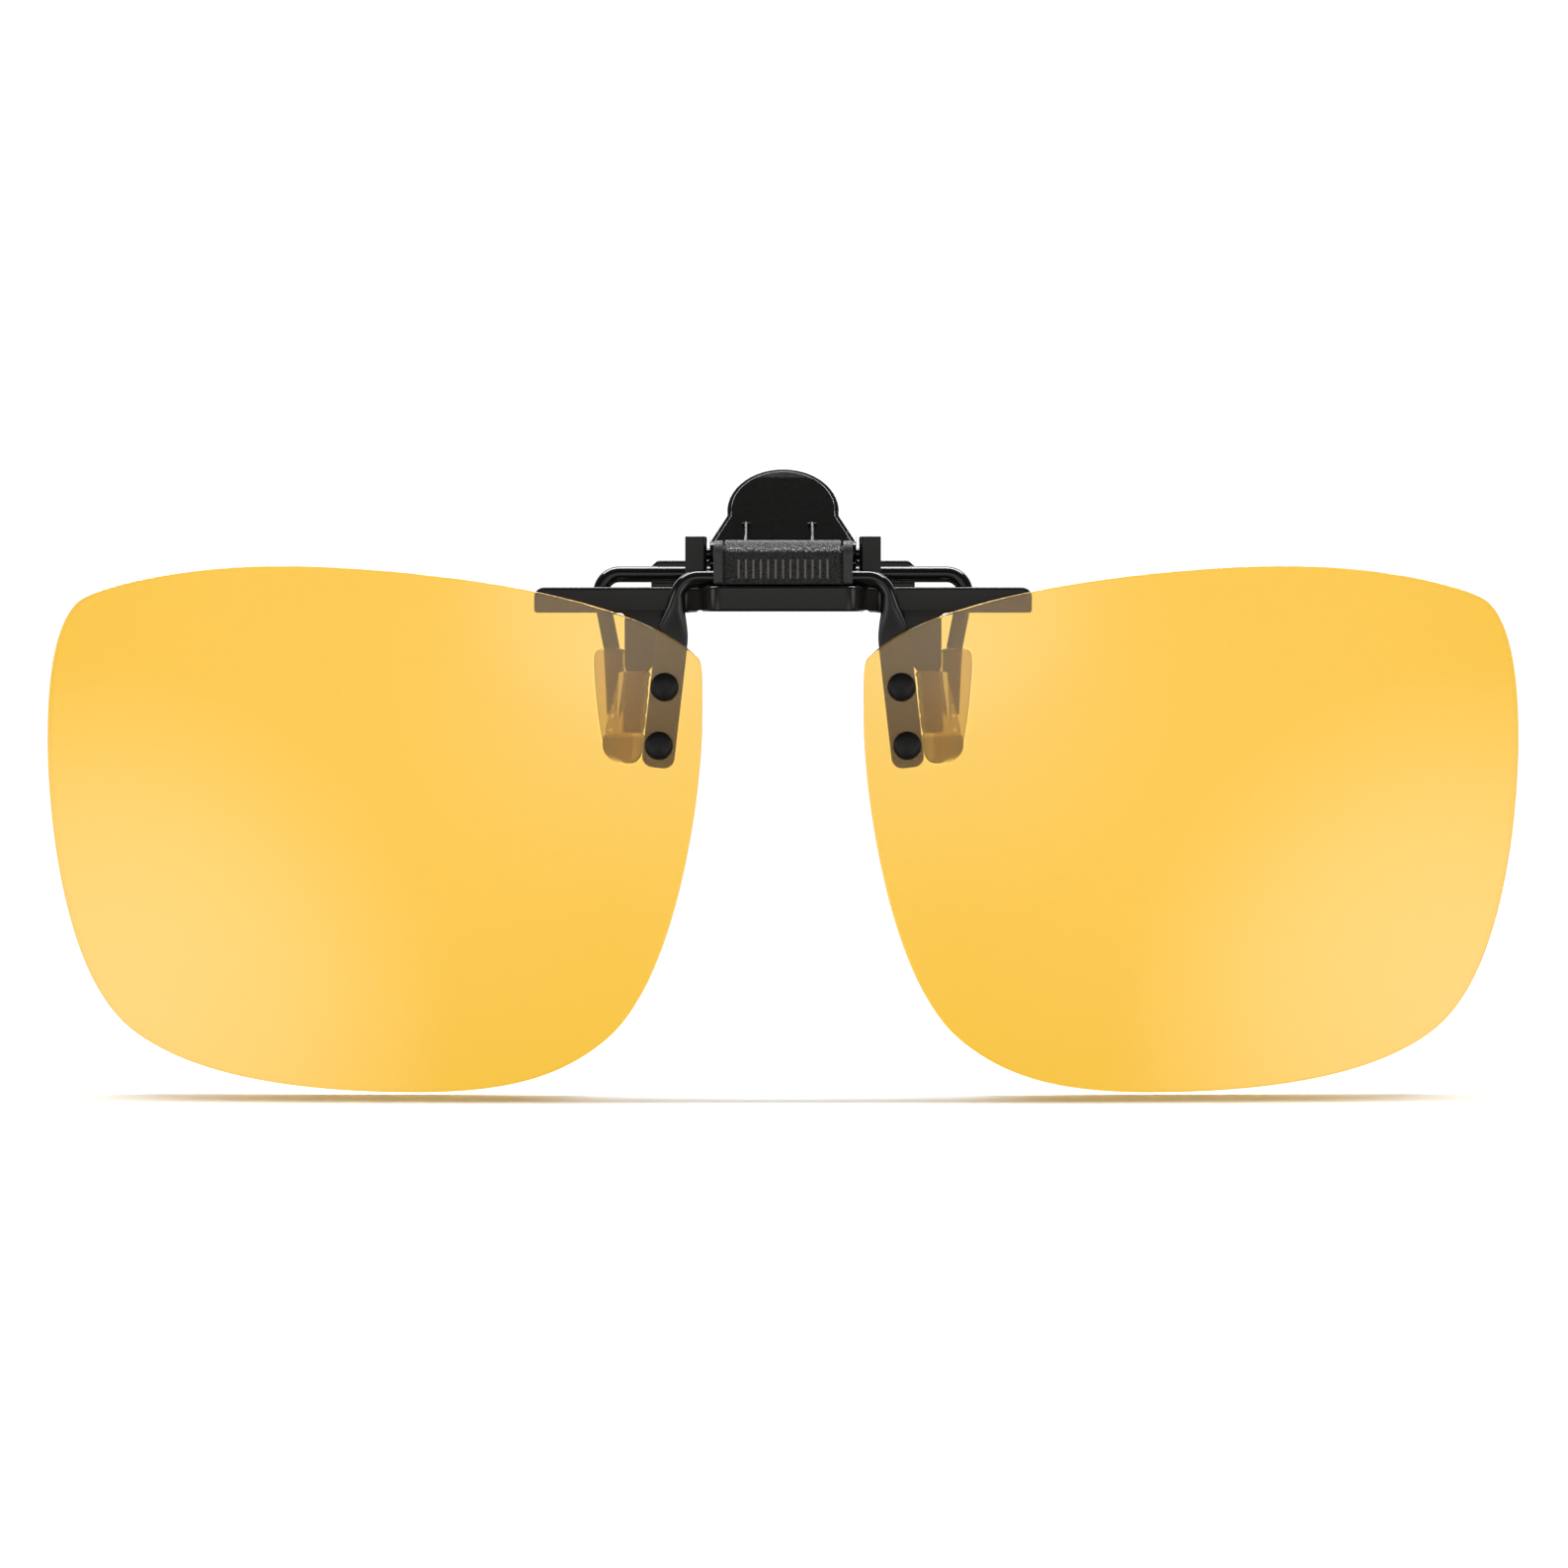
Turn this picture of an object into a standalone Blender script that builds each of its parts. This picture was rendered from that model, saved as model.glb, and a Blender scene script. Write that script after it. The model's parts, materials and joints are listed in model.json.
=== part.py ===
"""Clip-on flip-up sunglasses: two rimless tinted lenses on a flip hinge and a sprung bridge clamp.

Sizes are in millimetres and become metres in the helpers. X runs to the wearer's left, Y to the
back, Z up. The origin lies midway between the front and rear grip pads, level with the underside
of the base bar, where the clip sits on the eyeglasses. In names, left and right are the sides as
they look from the front: left is -X and right is +X.
"""

from math import acos, atan2, cos, hypot, pi, radians, sin

import bmesh
import bpy
from mathutils import Matrix, Vector

MM = 0.001
GAP = 0.15  # clearance between neighbouring pieces

# Lenses
LENS_THICKNESS = 1.1
LENS_CENTRE = (37.8, -20.0)  # x and z of the middle of one lens
LENS_RADIUS = 220.0  # curve of the lens
LENS_WRAP = 0.087  # slope towards the temple
LENS_TILT = 0.046  # slope of the lower edge towards the cheek
LENS_DEPTH = -4.06  # y of the middle of the lens
LENS_GRID = (16, 12)
LENS_REACH = (33.0, 27.0)  # half width and half height of the curved blank it is cut from
LENS_CUT_DEPTH = 24.0
# One lens outline: x, z, heading in degrees, curve handle before and after
LENS_ANCHORS = (
    (46.6, 4.3, 0.0, 9.3, 9.5),
    (65.4, 1.0, -43.0, 1.9, 3.0),
    (68.2, -11.6, -90.0, 5.5, 5.9),
    (60.5, -38.5, -141.5, 8.4, 7.0),
    (34.1, -44.3, 180.0, 10.9, 8.5),
    (16.2, -39.3, 139.6, 5.6, 8.2),
    (7.4, -9.7, 90.0, 7.6, 3.0),
    (7.8, -4.2, 46.0, 0.7, 9.0),
)

# Flip hinge and bridge wire
FLIP_Y = -3.7
FLIP_Z = 3.17
WIRE_R = 0.7
PADDLE_WIDTH = 3.0
PADDLE_THICKNESS = 0.6
PADDLE_TIP_R = 1.0
PADDLE_SIDES = 10
FLATTEN_START = 1.9  # z where the round wire starts to flatten
FLATTEN_LENGTH = 4.6
PADDLE_STATIONS = (-1.0, -2.2, -3.6, -8.9, -13.3, -13.9, -14.15)  # z of the paddle's sections
BRIDGE_ROUTE = ((9.5, FLIP_Z, 2.0), (9.95, 0.2, 3.0), (11.6, -14.3, 0.0))

# Rivets through the lenses: x and z
RIVETS = {"upper": (10.88, -6.9), "lower": (11.4, -12.3)}
RIVET_HEAD_R = 1.32
RIVET_HEAD_HEIGHT = 0.72
RIVET_SHANK_R = 0.6
RIVET_TAIL_R = 1.0
RIVET_TAIL_HEIGHT = 0.42
RIVET_PLAY = 0.1
RIVET_HOLE_R = 0.72
WASHER_THICKNESS = 0.25

# Base bar, stamped from sheet
SHEET = 1.0
SHEET_EDGE = 0.15
INSET = 0.02  # keeps the faces of overlapping plates from lying in one plane
BAR_HEIGHT = 2.4
BAR_HALF = 23.0
WING_Y = -1.4
FLANGE_Y = -5.7
FLANGE_HALF = 6.3
WING_START = 8.6
SHELF_BACK = 1.2
SHELF_LOW = 1.4
EAR_X = (7.05, 9.05)
EAR_LOW = 1.5
EAR_TOP = 7.1
EAR_REACH = 1.25  # behind the pin's axis
LEG_X = (10.6, 14.65)
LEG_END = -11.1

# Clamp pivot
PIN_Y = 0.2
PIN_Z = 5.5
PIN_R = 0.55
PIN_HEAD_R = 0.85
COIL_R = 1.0
SPRING_WIRE_R = 0.17
SPRING_LEG_X = (-3.46, 2.73)
SPRING_PITCH = 0.48
SPRING_TURNS = 4
SPRING_HOOK = 4.3  # distance up the tab to the spring's hooks
SPRING_SLOT = (0.4, 0.3)  # half width and half height of the slot that takes a hook

# Thumb lever, stamped from sheet
LEVER_SHEET = 0.8
LEVER_LEAN = radians(40.0)
LEVER_FOOT_Y = 3.65
LEVER_BEND_Z = 4.8
LEVER_FOOT_Z = 1.6
LEVER_FOOT_HALF = 12.3
TAB_R = 5.24
TAB_TOP_Z = 13.75
CHEEK_X = (5.95, 6.8)

# Rear wire
REAR_WIRE_R = 0.775
REAR_Y = 2.4
REAR_Z = 3.7
REAR_ROUTE = ((17.3, REAR_Y, REAR_Z, 1.7), (15.85, 1.5, -3.5, 2.2), (15.55, 1.5, -9.3, 0.0))

# Grip sleeves
SLEEVE_TOP_FRONT = -5.5
SLEEVE_END = -13.9
SLEEVE_TOP_REAR = -3.2
SLEEVE_END_REAR = -13.5
SLEEVE_FRONT_Y = (-2.7, -GAP)
SLEEVE_REAR_Y = (GAP, 2.85)

# Hinge block
BLOCK_HALF = 6.4
BLOCK_Y = (-5.3, -1.6)
BLOCK_Z = (BAR_HEIGHT + GAP, 6.15)
COVER_HALF = 5.35
COVER_WALL = 0.35
COVER_BACK = -2.1
SHOULDER_X = (5.5, 6.4)
SHOULDER_FRONT = -5.72
SHOULDER_TOP = 6.6
POCKET_HALF = (4.9, 1.2)
POCKET_TOP = 5.0

# Detent spring
LEAF_HALF = (4.6, 1.0)
LEAF_THICKNESS = 0.2
LEAF_BOW = 0.55


def clear_scene():
    for thing in list(bpy.data.objects):
        bpy.data.objects.remove(thing, do_unlink=True)


def new_collection(name):
    group = bpy.data.collections.new(name)
    bpy.context.scene.collection.children.link(group)
    return group


def material(name, colour, roughness, metallic=0.0, alpha=1.0):
    made = bpy.data.materials.new(name)
    made.use_nodes = True
    shader = made.node_tree.nodes["Principled BSDF"]
    shader.inputs["Base Color"].default_value = (*colour, 1.0)
    shader.inputs["Roughness"].default_value = roughness
    shader.inputs["Metallic"].default_value = metallic
    shader.inputs["Alpha"].default_value = alpha
    return made


def place(name, data, finish, matrix=Matrix.Identity(4)):
    thing = bpy.data.objects.new(name, data)
    thing.matrix_world = matrix
    if finish is None:
        cutters.objects.link(thing)
        thing.hide_render = True
        thing.display_type = "WIRE"
    else:
        model.objects.link(thing)
        data.materials.append(finish)
    return thing


def from_bmesh(name, shape, finish):
    bmesh.ops.scale(shape, vec=(MM, MM, MM), verts=shape.verts)
    data = bpy.data.meshes.new(name)
    shape.to_mesh(data)
    shape.free()
    return place(name, data, finish)


def as_mesh(curve_object, finish):
    """The closed mesh of a curve object, which is then removed."""
    bpy.context.view_layer.update()
    depsgraph = bpy.context.evaluated_depsgraph_get()
    data = bpy.data.meshes.new_from_object(curve_object.evaluated_get(depsgraph))
    shape = bmesh.new()
    shape.from_mesh(data)
    bmesh.ops.remove_doubles(shape, verts=shape.verts, dist=0.001 * MM)
    bmesh.ops.recalc_face_normals(shape, faces=shape.faces)
    shape.to_mesh(data)
    shape.free()
    name = curve_object.name
    matrix = curve_object.matrix_world.copy()
    curve_object.name = name + "_curve"
    bpy.data.objects.remove(curve_object, do_unlink=True)
    data.materials.clear()
    return place(name, data, finish, matrix)


def rounded(points, steps=4):
    """A route through points whose last value is a corner radius, with the corners as arcs."""
    route = []
    for index, (*place_at, radius) in enumerate(points):
        corner = Vector(place_at)
        if radius == 0.0:
            route.append(corner)
            continue
        before = (Vector(points[index - 1][:-1]) - corner).normalized()
        after = (Vector(points[(index + 1) % len(points)][:-1]) - corner).normalized()
        half = before.angle(after) / 2.0
        centre = corner + (before + after).normalized() * radius / sin(half)
        start = corner + before * radius / (sin(half) / cos(half)) - centre
        end = corner + after * radius / (sin(half) / cos(half)) - centre
        sweep = start.angle(end)
        for step in range(steps + 1):
            part = step / steps
            a = sin((1.0 - part) * sweep) / sin(sweep)
            b = sin(part * sweep) / sin(sweep)
            route.append(centre + start * a + end * b)
    return route


PLANES = {"XY": (0.0, 0.0, 0.0), "XZ": (pi / 2, 0.0, 0.0), "YZ": (pi / 2, 0.0, pi / 2)}


def plate(name, outline, thickness, middle, plane, finish, edge=0.0):
    """A flat outline given its thickness either side of its middle, with eased edges."""
    data = bpy.data.curves.new(name, "CURVE")
    data.dimensions = "2D"
    data.fill_mode = "BOTH"
    data.extrude = (thickness / 2 - edge) * MM
    data.bevel_depth = edge * MM
    data.bevel_resolution = 0
    data.offset = -edge * MM
    spline = data.splines.new("POLY")
    spline.points.add(len(outline) - 1)
    for point, spot in zip(spline.points, outline):
        point.co = (spot[0] * MM, spot[1] * MM, 0.0, 1.0)
    spline.use_cyclic_u = True
    shape = bpy.data.objects.new(name, data)
    model.objects.link(shape)
    shape.rotation_euler = PLANES[plane]
    axis = "ZYX"[list(PLANES).index(plane)]
    shape.location["XYZ".index(axis)] = middle * MM
    return as_mesh(shape, finish)


def tube(name, route, radius, finish):
    data = bpy.data.curves.new(name, "CURVE")
    data.dimensions = "3D"
    data.bevel_depth = radius * MM
    data.bevel_resolution = 2
    data.use_fill_caps = True
    spline = data.splines.new("POLY")
    spline.points.add(len(route) - 1)
    for point, spot in zip(spline.points, route):
        point.co = (*(Vector(spot) * MM), 1.0)
    shape = bpy.data.objects.new(name, data)
    model.objects.link(shape)
    return as_mesh(shape, finish)


def turned(name, profile, centre, axis, finish, closed=False, steps=16):
    """A profile of (radius, height) turned about the axis; its outer side runs from high to low."""
    spots = [(radius * MM, 0.0, height * MM) for radius, height in profile]
    edges = [(index, index + 1) for index in range(len(spots) - 1)]
    if closed:
        edges.append((len(spots) - 1, 0))
    data = bpy.data.meshes.new(name)
    data.from_pydata(spots, edges, [])
    turn = Vector((0, 0, 1)).rotation_difference(Vector(axis)).to_matrix().to_4x4()
    thing = place(name, data, finish, Matrix.Translation(Vector(centre) * MM) @ turn)
    spin = thing.modifiers.new("turn", "SCREW")
    spin.angle = 2 * pi
    spin.steps = steps
    spin.render_steps = steps
    spin.use_merge_vertices = True
    spin.merge_threshold = 0.001 * MM
    return thing


def cylinder(name, radius, start, end, finish=None, segments=16):
    shape = bmesh.new()
    along = Vector(end) - Vector(start)
    bmesh.ops.create_cone(
        shape, cap_ends=True, segments=segments, radius1=radius, radius2=radius, depth=along.length
    )
    turn = Vector((0, 0, 1)).rotation_difference(along).to_matrix().to_4x4()
    middle = (Vector(start) + Vector(end)) / 2
    bmesh.ops.transform(shape, matrix=Matrix.Translation(middle) @ turn, verts=shape.verts)
    return from_bmesh(name, shape, finish)


def wedge(name, top, bottom, finish):
    """A box whose top and bottom differ: each is (x low, x high, y low, y high, z)."""
    shape = bmesh.new()
    bmesh.ops.create_cube(shape, size=2.0)
    for corner in shape.verts:
        x_low, x_high, y_low, y_high, z = top if corner.co.z > 0 else bottom
        x = x_high if corner.co.x > 0 else x_low
        y = y_high if corner.co.y > 0 else y_low
        corner.co = (x, y, z)
    return from_bmesh(name, shape, finish)


def block(name, low, high, finish=None):
    sides = (low[0], high[0], low[1], high[1])
    return wedge(name, (*sides, high[2]), (*sides, low[2]), finish)


def combine(target, others, operation):
    """A Boolean for each other object; the others stay as hidden cutters."""
    for other in others:
        change = target.modifiers.new(other.name, "BOOLEAN")
        change.operation = operation
        change.solver = "EXACT"
        change.object = other


def ease_edges(target, width, segments=2):
    change = target.modifiers.new("eased_edges", "BEVEL")
    change.width = width * MM
    change.segments = segments
    change.limit_method = "ANGLE"
    change.angle_limit = radians(30.0)


def mirror_x(outline):
    return [(-x, *rest) for x, *rest in outline]


def sided(side, low, high):
    """A left-to-right pair on the given side of the middle."""
    return (low, high) if side > 0 else (-high, -low)


# Lenses


def lens_depth(x, z):
    """The y of a lens's middle surface."""
    across = abs(x) - LENS_CENTRE[0]
    up = z - LENS_CENTRE[1]
    bow = (across**2 + up**2) / (2 * LENS_RADIUS)
    return LENS_DEPTH + LENS_WRAP * across - LENS_TILT * up + bow


def lens_outline(side, steps=6):
    """The rimless outline, a closed curve through the anchors."""
    outline = []
    for index, (x, z, heading, _, handle) in enumerate(LENS_ANCHORS):
        x_next, z_next, heading_next, handle_next, _ = LENS_ANCHORS[(index + 1) % len(LENS_ANCHORS)]
        start = Vector((x, z))
        end = Vector((x_next, z_next))
        start_pull = start + handle * Vector((cos(radians(heading)), sin(radians(heading))))
        end_pull = end - handle_next * Vector((cos(radians(heading_next)), sin(radians(heading_next))))
        for step in range(steps):
            t = step / steps
            spot = (1 - t) ** 3 * start + 3 * (1 - t) ** 2 * t * start_pull
            spot += 3 * (1 - t) * t**2 * end_pull + t**3 * end
            outline.append((side * spot.x, spot.y))
    return outline


def make_lens(name, side):
    shape = bmesh.new()
    bmesh.ops.create_grid(shape, x_segments=LENS_GRID[0], y_segments=LENS_GRID[1], size=1.0)
    for corner in shape.verts:
        x = side * LENS_CENTRE[0] + LENS_REACH[0] * corner.co.x
        z = LENS_CENTRE[1] + LENS_REACH[1] * corner.co.y
        corner.co = (x, lens_depth(x, z), z)
    lens = from_bmesh(name, shape, lens_tint)
    wall = lens.modifiers.new("thickness", "SOLIDIFY")
    wall.thickness = LENS_THICKNESS * MM
    wall.offset = 0.0
    outline = plate(name + "_outline", lens_outline(side), LENS_CUT_DEPTH, 0.0, "XZ", None)
    combine(lens, [outline], "INTERSECT")
    holes = [
        cylinder(f"{name}_hole_{level}", RIVET_HOLE_R, (side * x, -9, z), (side * x, -1, z))
        for level, (x, z) in RIVETS.items()
    ]
    combine(lens, holes, "DIFFERENCE")
    return lens


# Bridge wire: round across the middle, rolled flat into a paddle at each end


def paddle_section(z, from_tip):
    """Half width and half depth of the wire at a height, and near the paddle's rounded tip."""
    flat = min(max((FLATTEN_START - z) / FLATTEN_LENGTH, 0.0), 1.0)
    flat = flat * flat * (3 - 2 * flat)
    half_width = WIRE_R + (PADDLE_WIDTH / 2 - WIRE_R) * flat
    half_depth = WIRE_R + (PADDLE_THICKNESS / 2 - WIRE_R) * flat
    if from_tip < PADDLE_TIP_R:
        half_width -= PADDLE_TIP_R - (PADDLE_TIP_R**2 - (PADDLE_TIP_R - from_tip) ** 2) ** 0.5
    return half_width, half_depth


def bridge_stations():
    """Points along the right half of the wire, from the middle to the paddle's tip."""
    start = (0.0, FLIP_Z, 0.0)
    corners = rounded((start,) + BRIDGE_ROUTE)
    route = [corners[0], *corners[1:-1]]
    last = corners[-2]
    tip = corners[-1]
    for z in PADDLE_STATIONS:
        part = (last.y - z) / (last.y - tip.y)
        route.append(last.lerp(tip, part))
    route.append(tip)
    return route


def make_bridge_wire():
    right = bridge_stations()
    route = [Vector((-spot.x, spot.y)) for spot in reversed(right[1:])] + right
    tip_z = right[-1].y
    shape = bmesh.new()
    rings = []
    for index, spot in enumerate(route):
        ahead = route[min(index + 1, len(route) - 1)] - route[max(index - 1, 0)]
        across = Vector((-ahead.y, ahead.x)).normalized()
        half_width, half_depth = paddle_section(spot.y, spot.y - tip_z)
        square = 1.0 if half_depth > 0.5 else 0.6
        ring = []
        for step in range(PADDLE_SIDES):
            angle = 2 * pi * (step + 0.5) / PADDLE_SIDES
            wide = abs(cos(angle)) ** square * (1 if cos(angle) > 0 else -1)
            deep = abs(sin(angle)) ** square * (1 if sin(angle) > 0 else -1)
            side = spot + across * half_width * wide
            ring.append(shape.verts.new((side.x, FLIP_Y + half_depth * deep, side.y)))
        rings.append(ring)
    for ring, following in zip(rings, rings[1:]):
        for step in range(PADDLE_SIDES):
            after = (step + 1) % PADDLE_SIDES
            shape.faces.new((ring[step], ring[after], following[after], following[step]))
    shape.faces.new(rings[0])
    shape.faces.new(rings[-1])
    bmesh.ops.recalc_face_normals(shape, faces=shape.faces)
    wire = from_bmesh("bridge_wire", shape, black_steel)
    holes = [
        cylinder(f"paddle_hole_{level}_{side}", RIVET_HOLE_R, (side * x, -6, z), (side * x, -2, z))
        for level, (x, z) in RIVETS.items()
        for side in (-1, 1)
    ]
    combine(wire, holes, "DIFFERENCE")
    return wire


def make_rivet(name, x, z):
    """A domed head before the lens, a shank through lens and paddle, and a peened tail."""
    seat = lens_depth(x, z) - LENS_THICKNESS / 2 - RIVET_PLAY
    tail = FLIP_Y + PADDLE_THICKNESS / 2 + RIVET_PLAY
    profile = (
        (0.0, tail + RIVET_TAIL_HEIGHT),
        (RIVET_TAIL_R * 0.8, tail + RIVET_TAIL_HEIGHT * 0.7),
        (RIVET_TAIL_R, tail),
        (RIVET_SHANK_R, tail),
        (RIVET_SHANK_R, seat),
        (RIVET_HEAD_R, seat),
        (RIVET_HEAD_R, seat - RIVET_HEAD_HEIGHT * 0.17),
        (RIVET_HEAD_R * 0.82, seat - RIVET_HEAD_HEIGHT * 0.58),
        (RIVET_HEAD_R * 0.47, seat - RIVET_HEAD_HEIGHT * 0.89),
        (0.0, seat - RIVET_HEAD_HEIGHT),
    )
    return turned(name, profile, (x, 0.0, z), (0, 1, 0), black_steel)


def make_washer(name, x, z):
    """A thin clear washer between the lens and the paddle."""
    back = FLIP_Y - PADDLE_THICKNESS / 2 - RIVET_PLAY
    front = back - WASHER_THICKNESS
    rim = RIVET_HEAD_R - 0.1
    profile = ((RIVET_HOLE_R, back), (rim, back), (rim, front), (RIVET_HOLE_R, front))
    return turned(name, profile, (x, 0.0, z), (0, 1, 0), clear_plastic, closed=True)


# Base bar


def strip_outline():
    """Plan of the bar's stepped front strip: its middle stands forward of its wings."""
    half = SHEET / 2 - INSET
    front = (
        (-WING_START - 1.8, WING_Y, 0.0),
        (-WING_START, WING_Y, 1.1),
        (-FLANGE_HALF, FLANGE_Y, 1.1),
        (FLANGE_HALF, FLANGE_Y, 1.1),
        (WING_START, WING_Y, 1.1),
        (WING_START + 1.8, WING_Y, 0.0),
    )
    middle = rounded(front)
    near = []
    far = []
    for index, spot in enumerate(middle):
        ahead = middle[min(index + 1, len(middle) - 1)] - middle[max(index - 1, 0)]
        across = Vector((ahead.y, -ahead.x)).normalized() * half
        near.append(spot + across)
        far.append(spot - across)
    return near + far[::-1]


def wing_outline():
    """Front view of one wing with its grip leg."""
    inner, outer = LEG_X
    return rounded(
        (
            (WING_START + 0.6, INSET, 0.0),
            (inner, INSET, 0.5),
            (inner, -3.0, 0.0),
            (12.72, -5.8, 0.0),
            (13.15, LEG_END, 0.4),
            (14.85, LEG_END, 0.4),
            (14.45, -5.45, 0.0),
            (outer, -4.9, 0.0),
            (outer, 0.0, 0.4),
            (BAR_HALF, 0.0, 0.3),
            (BAR_HALF, BAR_HEIGHT, 0.9),
            (WING_START + 0.6, BAR_HEIGHT, 0.0),
        ),
        steps=3,
    )


def ear_outline(side):
    """Plan of one ear: a front wall that folds back beside the lever."""
    inner, outer = EAR_X
    front = WING_Y - SHEET / 2
    back = PIN_Y + EAR_REACH
    outline = (
        (inner, front, 0.35),
        (inner, back, 0.0),
        (inner + SHEET, back, 0.0),
        (inner + SHEET, front + SHEET, 0.0),
        (outer, front + SHEET, 0.0),
        (outer, front, 0.0),
    )
    points = rounded(outline, steps=3)
    return points if side > 0 else mirror_x(points)


def shelf_outline():
    """Plan of the shelf behind the strip, which carries the hinge block and the spring."""
    front = FLANGE_Y + SHEET * 0.2
    right = ((6.0, front), (6.4, FLANGE_Y + 0.7), (7.9, WING_Y - 0.5), (7.6, SHELF_BACK))
    return [*right, *mirror_x(reversed(right))]


def make_base_bar():
    height = BAR_HEIGHT - 2 * INSET
    bar = plate("base_bar", strip_outline(), height, BAR_HEIGHT / 2, "XY", black_steel, edge=SHEET_EDGE)
    top = BAR_HEIGHT - 3 * INSET
    shelf = plate("shelf", shelf_outline(), top - SHELF_LOW, (top + SHELF_LOW) / 2, "XY", None)
    pieces = [shelf]
    for side in (-1, 1):
        wing = wing_outline() if side > 0 else mirror_x(wing_outline())
        pieces.append(plate(f"wing_{side}", wing, SHEET, WING_Y, "XZ", None, edge=SHEET_EDGE))
        rise = EAR_TOP - EAR_LOW
        middle = EAR_LOW + rise / 2
        pieces.append(plate(f"ear_{side}", ear_outline(side), rise, middle, "XY", None, edge=0.1))
    combine(bar, pieces, "UNION")
    holes = [
        cylinder(f"ear_hole_{side}", PIN_R + 0.06, (side * 6.5, PIN_Y, PIN_Z), (side * 8.6, PIN_Y, PIN_Z))
        for side in (-1, 1)
    ]
    combine(bar, holes, "DIFFERENCE")
    return bar


# Hinge block, its cover and the detent spring over the wire


def make_hinge_block():
    front, back = BLOCK_Y
    low, high = BLOCK_Z
    outline = rounded(
        ((front, low, 0.0), (back, low, 0.0), (back, high, 0.5), (front, high, 1.1)), steps=3
    )
    hinge = plate("hinge_block", outline, 2 * BLOCK_HALF, 0.0, "YZ", black_plastic, edge=0.3)
    shoulder_outline = rounded(
        (
            (SHOULDER_FRONT, low + INSET, 0.2),
            (back + INSET, low + INSET, 0.0),
            (back + INSET, SHOULDER_TOP, 0.4),
            (SHOULDER_FRONT, SHOULDER_TOP, 1.3),
        ),
        steps=4,
    )
    inner, outer = SHOULDER_X
    shoulders = [
        plate(f"shoulder_{side}", shoulder_outline, outer - inner, side * (inner + outer) / 2, "YZ", None)
        for side in (-1, 1)
    ]
    combine(hinge, shoulders, "UNION")
    reach = BLOCK_HALF + 1.0
    groove_r = WIRE_R + 0.1
    below = BLOCK_Z[0] - 1.0
    groove = cylinder("wire_groove", groove_r, (-reach, FLIP_Y, FLIP_Z), (reach, FLIP_Y, FLIP_Z))
    slot = block("wire_slot", (-reach, FLIP_Y - groove_r, below), (reach, FLIP_Y + groove_r, FLIP_Z))
    half_x, half_y = POCKET_HALF
    pocket = block(
        "spring_pocket", (-half_x, FLIP_Y - half_y, below), (half_x, FLIP_Y + half_y, POCKET_TOP)
    )
    combine(hinge, [groove, slot, pocket], "DIFFERENCE")
    return hinge


def make_hinge_cover():
    """A grained shell over the front and top of the block."""
    inner_y = BLOCK_Y[0] - GAP
    outer_y = inner_y - COVER_WALL
    inner_z = BLOCK_Z[1] + GAP
    outer_z = inner_z + COVER_WALL
    outline = rounded(
        (
            (outer_y, BLOCK_Z[0], 0.0),
            (inner_y, BLOCK_Z[0], 0.0),
            (inner_y, inner_z, 1.15),
            (COVER_BACK, inner_z, 0.0),
            (COVER_BACK, outer_z, 0.0),
            (outer_y, outer_z, 1.5),
        ),
        steps=4,
    )
    return plate("hinge_cover", outline, 2 * COVER_HALF, 0.0, "YZ", black_plastic, edge=0.1)


def make_detent_spring():
    """A leaf bowed down onto the bridge wire, which holds the lenses up or down."""
    low = FLIP_Z + WIRE_R + LEAF_THICKNESS
    half, half_wide = LEAF_HALF
    shape = bmesh.new()
    steps = 10
    ends = []
    for step in range(steps + 1):
        x = half * (2 * step / steps - 1)
        z = low + LEAF_BOW * (x / half) ** 2
        ends.append([shape.verts.new((x, FLIP_Y + y, z)) for y in (-half_wide, half_wide)])
    for near, far in zip(ends, ends[1:]):
        shape.faces.new((near[0], far[0], far[1], near[1]))
    leaf = from_bmesh("detent_spring", shape, spring_steel)
    wall = leaf.modifiers.new("thickness", "SOLIDIFY")
    wall.thickness = LEAF_THICKNESS * MM
    wall.offset = 0.0
    return leaf


# Clamp pivot


def make_hinge_pin():
    end = EAR_X[0] + SHEET + GAP
    half = (
        (0.0, end + 0.35),
        (PIN_HEAD_R * 0.7, end + 0.3),
        (PIN_HEAD_R, end + 0.05),
        (PIN_HEAD_R, end),
        (PIN_R, end),
    )
    profile = half + tuple((radius, -height) for radius, height in reversed(half))
    return turned("hinge_pin", profile, (0.0, PIN_Y, PIN_Z), (1, 0, 0), black_steel)


def tab_point(along, across=0.0):
    """y and z at a distance up the leaning tab from its bend, and forward of its middle."""
    y = LEVER_FOOT_Y + along * sin(LEVER_LEAN) - across * cos(LEVER_LEAN)
    z = LEVER_BEND_Z + along * cos(LEVER_LEAN) + across * sin(LEVER_LEAN)
    return y, z




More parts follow.
